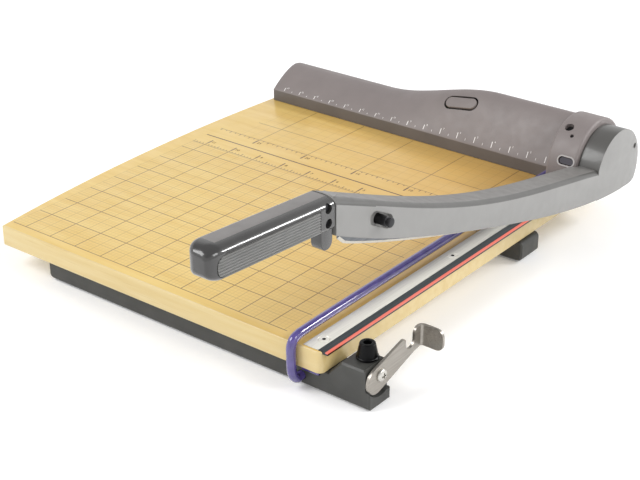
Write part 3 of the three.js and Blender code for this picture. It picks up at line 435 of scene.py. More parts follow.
def turned_outline(outline, angle, center):
    """An outline turned by an angle in degrees and moved to a centre."""
    c, s = math.cos(math.radians(angle)), math.sin(math.radians(angle))
    return [(center[0] + u * c - v * s, center[1] + u * s + v * c) for u, v in outline]


# ------------ solids


AXIS_ORDER = {"x": (2, 0, 1), "y": (0, 2, 1), "z": (0, 1, 2)}


def bridge(made, first, second):
    """Faces between two rings that have the same number of points."""
    for index in range(len(first)):
        after = (index + 1) % len(first)
        made.faces.new((first[index], first[after], second[after], second[index]))


def prism(outline, axis, low, high):
    """A solid with its outline drawn in the two other axes, in their X, Y, Z order."""
    order = AXIS_ORDER[axis]
    made = bmesh.new()
    ends = []
    for w in (low, high):
        ends.append([made.verts.new([(u, v, w)[i] for i in order]) for u, v in outline])
    for end in ends:
        made.faces.new(end)
    bridge(made, *ends)
    bmesh.ops.recalc_face_normals(made, faces=made.faces)
    return made


def loft(rings):
    """A solid through closed rings that all have the same number of points."""
    made = bmesh.new()
    rows = [[made.verts.new(point) for point in ring] for ring in rings]
    for first, second in zip(rows, rows[1:]):
        bridge(made, first, second)
    made.faces.new(rows[0])
    made.faces.new(rows[-1])
    bmesh.ops.recalc_face_normals(made, faces=made.faces)
    return made


def turned(profile, steps=40):
    """A solid of revolution about Z from (radius, height) points, ending on the axis or closed."""
    made = bmesh.new()
    turns = [2 * math.pi * step / steps for step in range(steps)]
    rows = []
    for radius, height in profile:
        ring = [(radius * math.cos(a), radius * math.sin(a), height) for a in turns]
        if radius == 0:
            ring = [(0, 0, height)]
        rows.append([made.verts.new(point) for point in ring])
    if profile[0] == profile[-1]:
        for vertex in rows.pop():
            made.verts.remove(vertex)
        rows.append(rows[0])
    for first, second in zip(rows, rows[1:]):
        for step in range(steps):
            after = (step + 1) % steps
            corners = [first[step % len(first)], first[after % len(first)]]
            corners += [second[after % len(second)], second[step % len(second)]]
            made.faces.new(list(dict.fromkeys(corners)))
    bmesh.ops.recalc_face_normals(made, faces=made.faces)
    return made


def moved(made, matrix):
    made.transform(matrix)
    return made


def shifted(made, x, y, z):
    return moved(made, Matrix.Translation((x, y, z)))


def rod(axis, center, radius, low, high, steps=32):
    """A cylinder along an axis, with its centre given in the two other axes."""
    made = turned([(0, low), (radius, low), (radius, high), (0, high)], steps)
    u, v = center
    if axis == "x":
        return shifted(moved(made, Matrix.Rotation(math.pi / 2, 4, "Y")), 0, u, v)
    if axis == "y":
        return shifted(moved(made, Matrix.Rotation(-math.pi / 2, 4, "X")), u, 0, v)
    return shifted(made, u, v, 0)


def scratch(made):
    mesh = bpy.data.meshes.new("scratch")
    made.to_mesh(mesh)
    made.free()
    thing = bpy.data.objects.new("scratch", mesh)
    bpy.context.scene.collection.objects.link(thing)
    return thing


def combine(body, tools, operation="DIFFERENCE"):
    """body less each tool, or joined to them, or what it shares with them."""
    base = scratch(body)
    others = [scratch(tool) for tool in tools]
    for other in others:
        modifier = base.modifiers.new("tool", "BOOLEAN")
        modifier.operation = operation
        modifier.solver = "EXACT"
        modifier.object = other
    shaped = base.evaluated_get(bpy.context.evaluated_depsgraph_get())
    result = bmesh.new()
    result.from_mesh(shaped.to_mesh())
    for thing in [base, *others]:
        mesh = thing.data
        bpy.data.objects.remove(thing)
        bpy.data.meshes.remove(mesh)
    bmesh.ops.remove_doubles(result, verts=result.verts, dist=0.002)
    return result


def paint_faces(made, pick):
    """Gives each face the paint whose number is pick(normal, centre)."""
    for face in made.faces:
        face.material_index = int(pick(face.normal, face.calc_center_median()))
    return made


def round_edges(made, chosen, width, segments):
    """Rounds the edges for which chosen(first point, second point) is true."""
    edges = [e for e in made.edges if chosen(e.verts[0].co, e.verts[1].co)]
    bmesh.ops.bevel(
        made,
        geom=edges,
        offset=width,
        offset_type="OFFSET",
        segments=segments,
        profile=0.5,
        affect="EDGES",
        clamp_overlap=True,
        material=-1,
    )
    return made


def show(name, made, paints, body, replaced=(), edge=0.0, sharp=32):
    """Makes a piece of the object from a solid in bed millimetres."""
    mesh = bpy.data.meshes.new(name)
    made.transform(TO_FRAME)
    made.to_mesh(mesh)
    made.free()
    dress(name, mesh, paints, body, replaced, edge, sharp)


def dress(name, mesh, paints, body, replaced, edge, sharp, segments=2):
    """Makes a mesh in the frame's metres a piece, with edges eased by edge millimetres."""
    for polygon in mesh.polygons:
        polygon.use_smooth = True
    mesh.set_sharp_from_angle(angle=math.radians(sharp))
    piece = bpy.data.objects.new(name, mesh)
    bpy.context.scene.collection.objects.link(piece)
    for paint in paints:
        mesh.materials.append(paint.material)
    if edge:
        modifier = piece.modifiers.new("edge", "BEVEL")
        modifier.width = edge * MM
        modifier.segments = segments
        modifier.limit_method = "ANGLE"
        modifier.angle_limit = math.radians(sharp)
        modifier.harden_normals = True
    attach(piece, body)
    if replaced:
        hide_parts(*replaced)


def refine(node, slot, edge, paint=None, segments=2, sharp=32):
    """A CAD solid of the base whose shape is right, as a cleaner mesh with its edges eased."""
    made = bmesh.new()
    made.from_mesh(frame["nodes"][node].data)
    bmesh.ops.remove_doubles(made, verts=made.verts, dist=2e-6)
    bmesh.ops.dissolve_limit(
        made, angle_limit=math.radians(0.6), verts=made.verts, edges=made.edges
    )
    bmesh.ops.recalc_face_normals(made, faces=made.faces)
    mesh = bpy.data.meshes.new(node)
    made.to_mesh(mesh)
    made.free()
    paints = [paint or PAINTS[slot]]
    dress(f"{node}_eased", mesh, paints, "base", [node], edge, sharp, segments)


# ------------ bed

STRIP = {"left": 287.5, "front": -6.5, "back": 300, "top": 0.2, "bottom": -1.8, "gap": 0.3}
UNDER_SCREWS = ((26, 338), (150, 341), (268, 341), (296, 312), (296, 342))
BOARD_CORNER = 4.5
BOARD_EASE = 1.5
NOSE_FLOOR = -6


def strip_seat(front, back, floor):
    """The room that the strip and the knife need in the board, open to the front and right."""
    gap = STRIP["gap"]
    outline = rectangle(STRIP["left"] - gap, BED["right"] + 9, front, back + gap, 0.05, 1)
    return prism(outline, "z", floor, 5)


def make_board():
    """The bed, with its left edge in a bow, seats for the strip and knife, and screw holes."""
    front, back, right, corner = BED["front"], BED["back"], BED["right"], BOARD_CORNER
    bow = (BED["bow"], (front + back) / 2)
    outline = [
        *arc((right - corner, front + corner), corner, -90, 0, 8),
        *arc((right - 1, back - 1), 1, 0, 90, 3),
        *bend((BED["left_back"], back), bow, (BED["left_front"], front), 48),
    ]
    made = prism(outline, "z", -BED_THICKNESS, 0)
    round_edges(made, lambda a, b: abs(a.z - b.z) < 0.01, BOARD_EASE, 4)
    paint_faces(made, lambda normal, spot: normal.z > 0.99)
    seat = strip_seat(front - 9, STRIP["back"], STRIP["bottom"] - STRIP["gap"])
    nose = strip_seat(front - 9, STRIP["front"] - 2 * STRIP["gap"], NOSE_FLOOR)
    tools = [combine(seat, [nose])]
    for place in UNDER_SCREWS:
        tools.append(rod("z", place, 5, -20, -12))
        tools.append(rod("z", place, 2.2, -13, 5))
    paints = [PAINTS["wood"], PRINTED_WOOD]
    show("board", combine(made, tools), paints, "base", ["bed_board"])


def make_text(name, words, size, spot, paint):
    """Flat generic numerals from (text, centre) pairs. spot turns a centre into a matrix."""
    joined = bmesh.new()
    for text, place in words:
        curve = bpy.data.curves.new("numeral", "FONT")
        curve.body = text
        curve.size = size
        curve.align_x = "CENTER"
        curve.align_y = "CENTER"
        curve.extrude = 0.03
        curve.resolution_u = 2
        thing = bpy.data.objects.new("numeral", curve)
        bpy.context.scene.collection.objects.link(thing)
        bpy.context.view_layer.update()
        mesh = thing.to_mesh()
        mesh.transform(spot(place))
        joined.from_mesh(mesh)
        thing.to_mesh_clear()
        bpy.data.objects.remove(thing)
    bmesh.ops.remove_doubles(joined, verts=joined.verts, dist=0.001)
    show(name, joined, [paint], "base", sharp=20)


def make_ruler_numerals():
    zero = RULER["zero"]
    inch_row = (RULER["low"] + RULER["middle"]) / 2
    metric_row = RULER["high"] - 5.5
    words = [(str(n), (zero - INCH * n + 3.4, inch_row - 1.5)) for n in range(2, 12)]
    words += [(str(5 * n), (zero - 50 * n + 4.2, metric_row)) for n in range(1, 6)]
    make_text("ruler_numerals", words, 4.2, lambda p: Matrix.Translation((*p, 0.03)), BROWN_INK)


def make_strip():
    refine("cutting_strip", "steel", 0.2, PALE_STEEL)
    refine("fixed_knife", "blade", 0.12, KNIFE_EDGE)
    paints = [PALE_STEEL, PAINTS["dark_steel"]]

    # Painted shade: the faces down in each screw head's socket are painted black.
    def in_socket(normal, spot):
        flat_top = spot.z > 0.2 and normal.z > 0.9
        return spot.z > -1.7 and math.hypot(spot.x, spot.y) < 1.36 and not flat_top

    for index in (1, 2, 3):
        low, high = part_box(f"strip_screw_{index}")
        middle = TO_FRAME.inverted() @ ((low + high) / 2)
        top = STRIP["top"] - 0.1
        head = turned([(0, -13), (1.9, -12.8), (1.9, -1.9), (3.65, -0.25), (3.4, 0.25), (0, 0.25)])
        socket = prism(arc((0, 0), 1.35, 0, 300, 5), "z", -1.6, 1)
        made = paint_faces(combine(head, [socket]), in_socket)
        shifted(made, middle.x, middle.y, top)
        name = f"strip_screw_head_{index}"
        show(name, made, paints, "base", [f"strip_screw_{index}"], 0.06)


# ------------ rails, bumper and latch

BUMPER = {"x": 323.4, "y": 11.8, "bottom": -4.7, "top": 6.1}
LATCH = {"y": 9, "z": -11.5, "inner": 334, "outer": 336, "reach": 352.5}


def make_rails():
    for node in ("front_rail", "rear_rail"):
        refine(node, "rail", 0.7, segments=3, sharp=24)


def make_bumper():
    height = BUMPER["top"] - BUMPER["bottom"]
    rim = arc((4.3, height - 0.9), 0.9, 0, 90, 5)
    mouth = arc((3.4, height - 0.6), 0.6, 90, 180, 4)
    profile = [(2.4, 0), (7.0, 0), (7.3, 0.4), (7.3, 1.2), (6.9, 1.6), *rim, *mouth]
    profile += [(2.8, height - 5), (2.4, height - 5), (2.4, 0)]
    made = shifted(turned(profile), BUMPER["x"], BUMPER["y"], BUMPER["bottom"])
    show("bumper_cone", made, [PAINTS["rubber"]], "base", ["bumper"])


def latch_outline():
    """The latch plate from the side, measured from its pivot, up to where the tab bends out."""
    notch, floor, radius = 30.8, 9.4, 4.9
    return [
        *arc((-4.2, -2.4), 8.9, 104.4, 288, 30),
        *bend((31, -0.8), (36, 1), (40.6, 1.3), 5),
        (40.6, 16.6),
        *bend((40, 16.6), (notch + radius, 16.2), (notch + radius, 12), 6),
        *arc((notch, floor), radius, 0, -180, 16),
        *bend((notch - radius, 12.2), (notch - radius - 0.8, 14), (notch - radius - 3, 13.8), 4),
    ]


def thumb_tab():
    """The tab: the plate carried on and bent outwards, with rounded far corners."""
    turn, corner, drop, root = 3.0, 5.0, 0.35, 40.6
    middle, half = (LATCH["inner"] + LATCH["outer"]) / 2, (LATCH["outer"] - LATCH["inner"]) / 2
    path = [((middle, root - 2.1), (0, 1)), ((middle, root), (0, 1))]
    for step in range(1, 9):
        angle = math.pi / 2 * step / 8
        spot = (middle + turn - turn * math.cos(angle), root + turn * math.sin(angle))
        path.append((spot, (math.sin(angle), math.cos(angle))))
    start, end = middle + turn, LATCH["reach"]
    bluff = end - corner
    reaches = [start + 3, bluff]
    reaches += [bluff + corner * math.sin(math.radians(a)) for a in (20, 40, 58, 72, 83, 90)]
    for x in reaches:
        path.append(((x, root + turn - drop * ((x - start) / (end - start)) ** 2), (1, 0)))
    rings = []
    for (x, y), (dx, dy) in path:
        into = max(0.0, x - bluff) / corner
        shrink = corner * (1 - math.sqrt(max(0.0, 1 - into * into)))
        low, high = 1.6 + shrink, 16.6 - shrink
        side = (-dy * half, dx * half)
        near, far = (x + side[0], y + side[1]), (x - side[0], y - side[1])
        rings.append([(*near, low), (*near, high), (*far, high), (*far, low)])
    return loft(rings)


def make_latch():
    plate = prism(latch_outline(), "x", LATCH["inner"], LATCH["outer"])
    made = combine(plate, [thumb_tab()], "UNION")
    made = combine(made, [rod("x", (0, 0), 2.5, 330, 340)])
    shifted(made, 0, LATCH["y"], LATCH["z"])
    steel = brushed("latch_steel", (0.36, 0.335, 0.30), 0.33, "y", 0.1, 0.9)
    show("latch_plate", made, [steel], "latch", ["latch_lever"], 0.3)
    dome = oval((0, 0), 4.3, 1.9, 0, 75, 5)
    head = turned([(0, -12), (2.2, -12), (2.2, -0.6), (4.3, -0.6), *dome, (0, 1.9)], 36)
    arms = ((0.55, 2.3), (2.3, 0.55))
    slots = [prism(rectangle(-u, u, -v, v, 0.2, 2), "z", 0.5, 4) for u, v in arms]
    made = combine(head, slots)
    moved(made, Matrix.Rotation(math.radians(90), 4, "Y"))
    shifted(made, LATCH["outer"] + 0.7, LATCH["y"], LATCH["z"])
    show("latch_screw_head", made, [PAINTS["steel"]], "base", ["latch_screw"], 0.12)


# ------------ guard band

BAND_RADIUS = 3.2
BAND_ROUTE = (
    (283.6, 309, 8.2),
    (283.6, 300, 8.2),
    (283, 150, 6.4),
    (282.3, 4, 5),
    (282.5, -6, 4.6),
    (282.8, -10.6, 3.1),
    (282.8, -12.8, -1.1),
    (282.8, -12.8, -8),
    (282.8, -12.7, -15),
    (282.8, -11.4, -21.5),
    (282.8, -7.4, -25.9),
    (282.8, -2, -25.6),
    (282.8, 9, -25.6),
)


def smooth_route(points, steps):
    """Points on a centripetal Catmull-Rom curve through the given ones."""
    spots = [Vector(p) for p in points]
    spots = [2 * spots[0] - spots[1], *spots, 2 * spots[-1] - spots[-2]]
    route = []
    for a, b, c, d in zip(spots, spots[1:], spots[2:], spots[3:]):
        t1 = (b - a).length ** 0.5
        t2 = t1 + (c - b).length ** 0.5
        t3 = t2 + (d - c).length ** 0.5
        for step in range(steps):
            t = t1 + (t2 - t1) * step / steps
            p = a.lerp(b, t / t1)
            q = b.lerp(c, (t - t1) / (t2 - t1))
            r = c.lerp(d, (t - t2) / (t3 - t2))
            left = p.lerp(q, t / t2)
            right = q.lerp(r, (t - t1) / (t3 - t1))
            route.append(left.lerp(right, (t - t1) / (t2 - t1)))
    return route + [spots[-2]]


def tube(route, radius, sides=20):
    rings = []
    across = Vector((1, 0, 0))
    for index, spot in enumerate(route):
        ahead = route[min(index + 1, len(route) - 1)] - route[max(index - 1, 0)]
        ahead.normalize()
        across = (across - ahead * across.dot(ahead)).normalized()
        up = ahead.cross(across)
        angles = [2 * math.pi * side / sides for side in range(sides)]
        rings.append([spot + radius * (across * math.cos(a) + up * math.sin(a)) for a in angles])
    return loft(rings)


def make_band():
    made = tube(smooth_route(BAND_ROUTE, 8), BAND_RADIUS)
    show("band_tube", made, [PAINTS["band"]], "base", ["guard_band"])
    refine("band_front_clip", "band", 0.8, segments=3)


# ------------ scale housing

HOUSING = {"left": 5.5, "right": 288, "front": 302, "back": 350, "bottom": 0.3, "shoulder": 10}
HOUSING_WALL = 2.6
CREST = {"y": 332, "low": 15, "high": 35.3, "start": 104, "end": 214, "slope": 1.6}
BUTTON = {"x": 187.2, "y": 320, "length": 28.8, "width": 9.3, "groove": 1.5}
SCALE = {"pitch": 16.15, "first": 17.3, "count": 17, "foot": HOUSING["front"] + 1.0}


def crest_rise(x):
    t = min(1, max(0, (x - CREST["start"]) / (CREST["end"] - CREST["start"])))
    return CREST["low"] + (CREST["high"] - CREST["low"]) * t * t * (3 - 2 * t)


def slope_height(x, y):
    """Z of the housing's front slope."""
    share = (y - HOUSING["front"]) / (CREST["y"] - HOUSING["front"])
    return HOUSING["shoulder"] + crest_rise(x) * (1 - (1 - share) ** CREST["slope"])


def slope_frame(x, y):
    """A matrix whose Z points out of the slope at a point, and whose X runs along the housing."""
    step = 0.5
    rise_x = slope_height(x + step, y) - slope_height(x - step, y)
    rise_y = slope_height(x, y + step) - slope_height(x, y - step)
    along = Vector((2 * step, 0, rise_x)).normalized()
    out = along.cross(Vector((0, 2 * step, rise_y))).normalized()
    up = out.cross(along)
    turn = Matrix((along, up, out)).transposed().to_4x4()
    return Matrix.Translation((x, y, slope_height(x, y))) @ turn


def housing_ring(x, inset):
    front, back, shoulder = HOUSING["front"] + inset, HOUSING["back"] - inset, HOUSING["shoulder"]
    rise = crest_rise(x) - inset
    ring = [(x, back, HOUSING["bottom"] - inset)]
    for step in range(13):
        angle = math.pi / 2 * step / 12
        reach = (back - CREST["y"]) * math.cos(angle)
        ring.append((x, CREST["y"] + reach, shoulder + rise * math.sin(angle)))
    steps = 20
    for step in range(steps - 1, -1, -1):
        share = math.sin(math.pi / 2 * step / steps)
        y = front + (CREST["y"] - front) * share
        ring.append((x, y, shoulder + rise * (1 - (1 - share) ** CREST["slope"])))
    ring.append((x, front, HOUSING["bottom"] - inset))
    return ring


def housing_loft(left, right, inset):
    return loft([housing_ring(x, inset) for x in spaced(left, right, 56)])


def make_housing():
    left, front, shoulder = HOUSING["left"], HOUSING["front"], HOUSING["shoulder"]
    outer = housing_loft(left, HOUSING["right"], 0)

    def end_edge(a, b):
        return abs(a.x - b.x) < 0.01 and abs(a.x - left) < 0.01 and max(a.z, b.z) > 1

    def crease(a, b):
        return all(abs(p.y - front) < 0.01 and abs(p.z - shoulder) < 0.01 for p in (a, b))

    round_edges(outer, end_edge, 1.2, 3)
    round_edges(outer, crease, 0.7, 3)
    paint_faces(outer, lambda normal, spot: spot.y < front + 0.05 and spot.z < shoulder - 0.4)
    inner = housing_loft(left + 3, HOUSING["right"] + 1, HOUSING_WALL)
    room = 2 * BUTTON["groove"]
    groove = stadium(BUTTON["length"] + room, BUTTON["width"] + room, 16)
    slot = moved(prism(groove, "z", -9, 9), slope_frame(BUTTON["x"], BUTTON["y"]))
    band_hole = rod("y", (283.4, 8.2), 4.2, 296, 308)
    door = prism(rectangle(199.7, 254.3, 1.7, 27.3, 1, 3), "y", 340, 360)
    made = combine(outer, [inner, slot, band_hole, door])
    paints = [PAINTS["housing"], HOUSING_SHADE]
    show("housing_shell", made, paints, "base", ["scale_housing"], sharp=38)
    refine("battery_door", "housing", 0.3)


def make_button():
    made = prism(stadium(BUTTON["length"], BUTTON["width"], 16), "z", -3, 0.5)
    round_edges(made, lambda a, b: min(a.z, b.z) > 0.4, 0.9, 4)
    stem = rod("z", (0, 0), 2.2, -4.6, -2)
    made = combine(made, [stem], "UNION")
    moved(made, slope_frame(BUTTON["x"], BUTTON["y"]))
    show("button_cap", made, [PAINTS["housing"]], "button", ["laser_button"])


def slope_mark(x, half, length):
    """A thin patch of ink on the slope, up from the foot of the scale."""
    sunk, proud = Vector((0, 0, -0.02)), Vector((0, 0, 0.06))
    rings = []
    for side in (x - half, x + half):
        low, high = (slope_frame(side, y) for y in (SCALE["foot"], SCALE["foot"] + length))
        rings.append([low @ sunk, high @ sunk, high @ proud, low @ proud])
    return loft(rings)


def make_scale_marks():
    """White marks along the foot of the housing's slope, with generic numerals."""
    pitch, count, foot = SCALE["pitch"], SCALE["count"], SCALE["foot"]
    places = [SCALE["first"] + pitch * index for index in range(count)]
    joined = bmesh.new()
    parts = []
    for x in places:
        parts.append(slope_mark(x, 0.3, 2.4))
        small = x + pitch / 2
        if small < HOUSING["right"] - 2:
            parts.append(slope_mark(small, 0.15, 0.9))
    for part in parts:
        mesh = bpy.data.meshes.new("mark")
        part.to_mesh(mesh)
        part.free()
        joined.from_mesh(mesh)
        bpy.data.meshes.remove(mesh)
    show("scale_marks", joined, [WHITE_INK], "base", sharp=20)
    words = [(str(count - index), (x + 2.4, foot + 2.4)) for index, x in enumerate(places)]
    lift = Matrix.Translation((0, 0, 0.04))
    make_text("scale_numerals", words, 2.2, lambda p: slope_frame(*p) @ lift, WHITE_INK)


# ------------ pivot head

PIVOT = (318, 15)
HEAD = {"left": 288.4, "right": 312.5, "radius": 36.5, "front": 284, "bottom": 0.5}
WINDOW = (304, 20)
ADJUSTER = (296, 62)
LOCK_SCREW = (301.6, 51)


def on_head(x, angle):
    """A matrix on the head's round face, at an angle above the forward direction, with Z out."""
    turn = math.radians(angle)
    y = PIVOT[0] - HEAD["radius"] * math.cos(turn)
    z = PIVOT[1] + HEAD["radius"] * math.sin(turn)
    return Matrix.Translation((x, y, z)) @ Matrix.Rotation(math.pi / 2 - turn, 4, "X")


def make_head():
    back = BED["back"]
    start = math.degrees(math.acos((back - PIVOT[0]) / HEAD["radius"]))
    outline = [(HEAD["front"], HEAD["bottom"]), (back, HEAD["bottom"])]
    outline += arc(PIVOT, HEAD["radius"], start, 190.8, 64)
    made = prism(outline, "x", HEAD["left"], HEAD["right"])
    round_edges(made, lambda a, b: abs(a.x - b.x) < 0.01, 2.2, 5)
    window = moved(prism(stadium(12.5, 6), "z", -3.4, 4), on_head(*WINDOW))
    laser = moved(rod("z", (0, 0), 5, -26, -3), on_head(*WINDOW))
    adjuster = moved(rod("z", (0, 0), 3.6, -7, 5), on_head(*ADJUSTER))
    lock = moved(rod("z", (0, 0), 1.5, -5, 5, 20), on_head(*LOCK_SCREW))
    nut = rod("x", PIVOT, 11, HEAD["left"] - 1, HEAD["left"] + 9.6)
    bush = rod("x", PIVOT, 8.9, HEAD["left"], HEAD["right"] + 1)
    made = combine(made, [window, laser, adjuster, lock, nut, bush])
    show("head_casting", made, [PAINTS["housing"]], "base", ["pivot_head"], 0.35, 40)
    opening = prism(stadium(12.5, 6, 14), "z", -2, 2)
    rim = combine(prism(stadium(14.6, 8.1, 14), "z", -0.7, 0.15), [opening])
    pale = plastic("window_rim", (0.44, 0.42, 0.41), 0.3, 0.04)
    moved(rim, on_head(*WINDOW))
    show("window_rim", rim, [pale], "base", edge=0.12)


# ------------ knife arm, measured from its hinge

ARM = {"inner": 309.4, "hub_inner": 313, "outer": 330, "hub": 32, "clearance": 38}
ARM_START = -30.5
ARM_END = -343
ARM_TOP = (2.26, 27.38, -11.53, 6.22, -0.78)
ARM_BOTTOM = (-17.2, 6.77, 13.98, -4.3, 0.596)
CROWN = (9.5, 5.2)
CATCH = {"y": -302.3, "z": 74.6, "radius": 3.2, "tip": 337.2, "tilt": -28}
TANG = ((-338, 89), (-338, 102.4), (-360, 103), (-432, 106), (-432, 97), (-368, 93), (-360, 89))


def at_hinge(made):
    return shifted(made, 0, *PIVOT)


def edge_height(terms, y):
    """The arm's upper or lower edge, as a polynomial of the distance ahead of the hinge."""
    return sum(term * (-y / 100) ** power for power, term in enumerate(terms))


def bar_ring(y):
    """The arm's section, which takes on the handle's broad crown towards its end."""
    z0, z1 = edge_height(ARM_BOTTOM, y), edge_height(ARM_TOP, y)
    near = min(1, max(0, (-300 - y) / 44))
    x0, x1 = ARM["inner"], ARM["outer"] - 1.2 * near
    wide, deep = (4 + (size - 4) * near for size in CROWN)
    foot, small = 0.9, 2 + 2 * near
    ring = [
        *oval((x1 - wide, z1 - deep), wide, deep, 90, 0, 12),
        *arc((x1 - foot, z0 + foot), foot, 0, -90, 3),
        *arc((x0 + foot, z0 + foot), foot, -90, -180, 3),
        *arc((x0 + small, z1 - small), small, 180, 90, 5),
    ]
    return [(x, y, z) for x, z in ring]


def arm_bar():
    made = loft([bar_ring(y) for y in spaced(ARM_START + 14, ARM_END - 1.5, 72)])

    # Painted shade: the top outer fillet gets the dark edge paint and the top faces the darker top
    # paint.
    def pick(normal, spot):
        if spot.y < -30 and 0.2 < normal.x < 0.97 and normal.z > 0.1:
            return 1
        return 2 if normal.z > 0.7 else 0

    return paint_faces(made, pick)


def arm_hub():
    start = math.degrees(math.atan2(edge_height(ARM_TOP, ARM_START), ARM_START))
    hub = arc((0, 0), ARM["hub"], start, -28.6, 64)
    chin = bend(hub[-1], (25.5, -18), (18, -17.8), 8)[1:]
    under = [(y, edge_height(ARM_BOTTOM, y) + 0.02) for y in (6, 0, -6, -12, -18, -24, -30)]
    made = prism([*hub, *chin, *under], "x", ARM["inner"], ARM["outer"])

    def rim(a, b):
        return abs(a.x - b.x) < 0.01 and max(a.z, b.z) > -17 and min(a.y, b.y) > -30

    round_edges(made, rim, 1.5, 4)
    # Painted shade: the hub's walls, all but its outer face, get the dark edge paint.
    return paint_faces(made, lambda normal, spot: normal.x < 0.5 and spot.z > -15)


def make_arm():
    outer, inner = ARM["outer"], ARM["inner"]
    pin_place = (CATCH["y"], CATCH["z"])
    made = combine(arm_hub(), [arm_bar()], "UNION")
    slot_outline = turned_outline(stadium(24, 9, 16), CATCH["tilt"], pin_place)
    slot = prism(slot_outline, "x", outer - 3.6, outer + 2)
    hub_cut = rod("x", (0, 0), ARM["clearance"], inner - 1, ARM["hub_inner"], 96)
    bore = rod("x", (0, 0), 5.3, ARM["hub_inner"] - 1, 326)
    pin_hole = rod("x", pin_place, CATCH["radius"] + 0.3, 317, 331)
    plug_hole = rod("x", (25, 12), 2.1, outer - 6, outer + 2, 24)
    made = combine(made, [slot, hub_cut, bore, pin_hole, plug_hole])
    made = combine(made, [prism(TANG, "x", 315, 324)], "UNION")
    paints = [PAINTS["arm"], ARM_EDGE_PAINTED_SHADE, ARM_ROOF_PAINTED_SHADE]
    show("arm_casting", at_hinge(made), paints, "arm", ["knife_arm"], 0.2, 40)

    tip, radius = CATCH["tip"], CATCH["radius"]
    nose = arc((radius - 0.8, tip - 0.8), 0.8, 0, 90, 4)
    shank = [(0, 318), (radius, 318), (radius, tip - 3.4), (radius - 0.5, tip - 3)]
    pin = turned([*shank, *nose, (0, tip)], 28)
    moved(pin, Matrix.Rotation(math.pi / 2, 4, "Y"))
    shifted(pin, 0, *pin_place)
    paints = [PAINTS["dark_steel"]]
    show("catch_pin_turned", at_hinge(pin), paints, "arm", ["catch_pin"])


BLADE = {"inner": 306.8, "outer": 309.1, "heel": -48.5, "toe": -316, "drop": 10, "grip": 9}
BLADE_SCREWS = (-84, -154, -224, -294)


def make_blade():
    """The moving knife, with its cutting edge ground bright on the outer side."""
    inner, outer, grind = BLADE["inner"], BLADE["outer"], 2.2
    rings = []
    for share in spaced(0, 1, 48):
        y = BLADE["heel"] + (BLADE["toe"] - BLADE["heel"]) * share
        base = edge_height(ARM_BOTTOM, y)
        edge = base - BLADE["drop"] + 3 * max(0.0, (share - 0.97) / 0.03) ** 2
        top = base + BLADE["grip"]
        ring = [(inner, top), (outer, top), (outer, edge + grind)]
        ring += [(inner + 0.3, edge), (inner, edge)]
        rings.append([(x, y, z) for x, z in ring])
    made = paint_faces(loft(rings), lambda normal, spot: normal.x > 0.2 and normal.z < -0.3)
    tools = []
    for y in BLADE_SCREWS:
        place = (y, edge_height(ARM_BOTTOM, y) + 4)
        tools += [rod("x", place, 1.9, 306, 310, 20), rod("x", place, 3.9, 306, inner + 1.5, 28)]
    paints = [PAINTS["blade"], PALE_STEEL]
    show("blade_ground", at_hinge(combine(made, tools)), paints, "arm", ["knife_blade"])


# ------------ handle, measured from the hinge

HANDLE = {"inner": 309.2, "outer": 328.8, "root": -346, "end": -449.5}
NOSE = 11
BLUFF = HANDLE["end"] + NOSE
HANDLE_TOP = (104.2, 112.4)
HANDLE_FOOT = (84.4, 92)
PANEL = {"root": -358.5, "end": -443.5, "low": 0.1, "high": 0.755, "depth": 1.5}
GUARD = {"root": -346.2, "end": -356.4, "inner": 319.6, "outer": 327.4, "bottom": 73.6}
HANDLE_SCREWS = ((-351.4, 99.6), (-351.4, 90.6))
SOCKET = (
    (-330, 88),
    (-330, 103.4),
    (-360, 103.6),
    (-433, 106.7),
    (-433, 96.3),
    (-368, 92.3),
    (-360, 88),
)


def handle_height(y, share):
    """Z at a share of the way from the handle's foot to its top."""
    t = (y - HANDLE["root"]) / (HANDLE["end"] - HANDLE["root"])
    top = HANDLE_TOP[0] + (HANDLE_TOP[1] - HANDLE_TOP[0]) * t
    foot = HANDLE_FOOT[0] + (HANDLE_FOOT[1] - HANDLE_FOOT[0]) * t
    return foot + (top - foot) * share


def grip_ring(y):
    """The grip's section, with a broad curve down to the outer side, drawn in at the nose."""
    into = min(1, max(0.0, BLUFF - y) / NOSE)
    sink = 1 - math.sqrt(max(0.0, 1 - into * into))
    x0, x1 = HANDLE["inner"] + 8.5 * sink, HANDLE["outer"] - 4.5 * sink
    z0, z1 = handle_height(y, 0) + 6 * sink, handle_height(y, 1) - 6 * sink
    wide, deep, small = (size * (1 - 0.64 * sink) for size in (*CROWN, 4))
    section = [
        *arc((x1 - small, z0 + small), small, -90, 0, 8),
        *oval((x1 - wide, z1 - deep), wide, deep, 0, 90, 16),
        *arc((x0 + small, z1 - small), small, 90, 180, 8),
        *arc((x0 + small, z0 + small), small, 180, 270, 8),
    ]
    return [(x, y, z) for x, z in section]


def grip_body():
    """A rounded bar that grows towards a blunt, well rounded nose."""
    stations = spaced(HANDLE["root"], BLUFF, 24)
    stations += [BLUFF - NOSE * math.sin(math.radians(a)) for a in range(5, 91, 5)]
    return loft([grip_ring(y) for y in stations])


def grip_panel_outline(low, high, margin):
    root, end, corner = PANEL["root"] - margin, PANEL["end"] + margin, 8 - margin
    top, foot = handle_height(end + corner, high), handle_height(end + corner, low)
    return [
        (root, handle_height(root, low)),
        (root, handle_height(root, high)),
        *bend((end + corner, top), (end, top), (end, top - 6.5), 8),
        *bend((end, foot + 6.5), (end, foot), (end + corner, foot), 8),
    ]


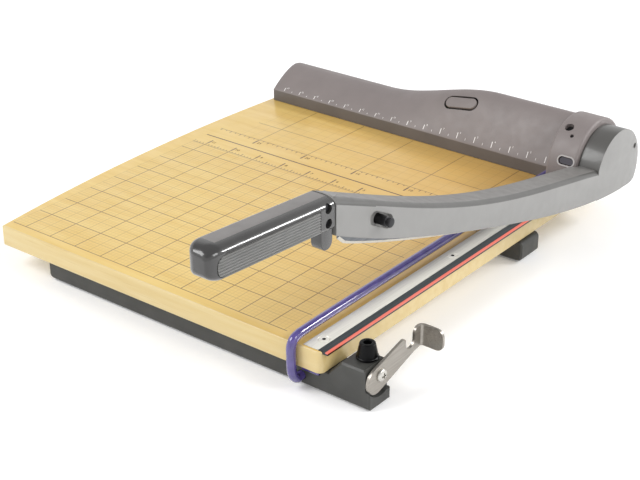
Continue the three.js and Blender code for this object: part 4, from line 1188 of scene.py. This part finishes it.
def ribbed_slab():
    """Nine lengthwise ribs that fan out with the handle's height."""
    ribs, per_rib = 9, 8
    low, high = PANEL["low"] - 0.05, PANEL["high"] + 0.05
    base = HANDLE["outer"] - PANEL["depth"]
    crown, valley = HANDLE["outer"] + 0.1, HANDLE["outer"] - 0.55
    rings = []
    for y in (PANEL["root"] + 2, PANEL["end"] - 2):
        ring = [(base, y, handle_height(y, high)), (base, y, handle_height(y, low))]
        for step, share in enumerate(spaced(low, high, ribs * per_rib)):
            wave = abs(math.sin(math.pi * step / per_rib)) ** 0.7
            ring.append((valley + (crown - valley) * wave, y, handle_height(y, share)))
        rings.append(ring)
    return loft(rings)


def finger_guard():
    root, end, bottom = GUARD["root"], GUARD["end"], GUARD["bottom"]
    middle = (root + end) / 2
    outline = [
        (root, 89),
        (end, 89),
        *bend((end, 80), (end, bottom), (middle, bottom), 10),
        *bend((middle, bottom), (root, bottom), (root, 80), 10)[1:],
    ]
    guard = prism(outline, "x", GUARD["inner"], GUARD["outer"])
    return round_edges(guard, lambda a, b: abs(a.x - b.x) < 0.01 and max(a.z, b.z) < 88, 1.8, 4)


def make_handle():
    outer = HANDLE["outer"]
    seat_outline = grip_panel_outline(PANEL["low"] - 0.015, PANEL["high"] + 0.015, -0.3)
    seat = prism(seat_outline, "x", outer - PANEL["depth"] - 0.3, outer + 3)
    socket = prism(SOCKET, "x", 314.6, 324.4)
    sinks = [rod("x", place, 2.9, outer - 3.4, outer + 1, 28) for place in HANDLE_SCREWS]
    made = combine(grip_body(), [finger_guard()], "UNION")
    made = combine(made, [seat, socket, *sinks])
    made.normal_update()

    # Painted sheen: the flat top faces get the lighter top paint.
    def on_top(normal, spot):
        return normal.z > 0.985 and spot.y > BLUFF and spot.z > handle_height(spot.y, 0.9)

    paint_faces(made, on_top)
    paints = [PAINTS["grip"], GRIP_TOP_PAINTED_SHEEN]
    show("grip_shell", at_hinge(made), paints, "arm", ["handle_grip"], 0.18, 42)
    outline = grip_panel_outline(PANEL["low"], PANEL["high"], 0)
    cookie = prism(outline, "x", outer - 3, outer + 2)
    panel = combine(ribbed_slab(), [cookie], "INTERSECT")
    show("grip_ribs", at_hinge(panel), [GRIP_PANEL], "arm", ["grip_panel"], sharp=50)


# ------------ everything else from the CAD


def paint_cad_nodes():
    """Each CAD node that still shows gets its slot's procedural material."""
    slots = {part["node"]: part["material_slot"] for part in frame["record"]["subparts"]}
    for name, node in frame["nodes"].items():
        node.data.materials.clear()
        node.data.materials.append(PAINTS[slots[name]].material)


make_camera()
make_band()
make_studio()
make_floor()
paint_cad_nodes()
make_board()
make_ruler_numerals()
make_strip()
make_rails()
make_bumper()
make_latch()
make_housing()
make_button()
make_scale_marks()
make_head()
make_arm()
make_handle()
make_blade()

bpy.context.scene.view_settings.view_transform = "Standard"
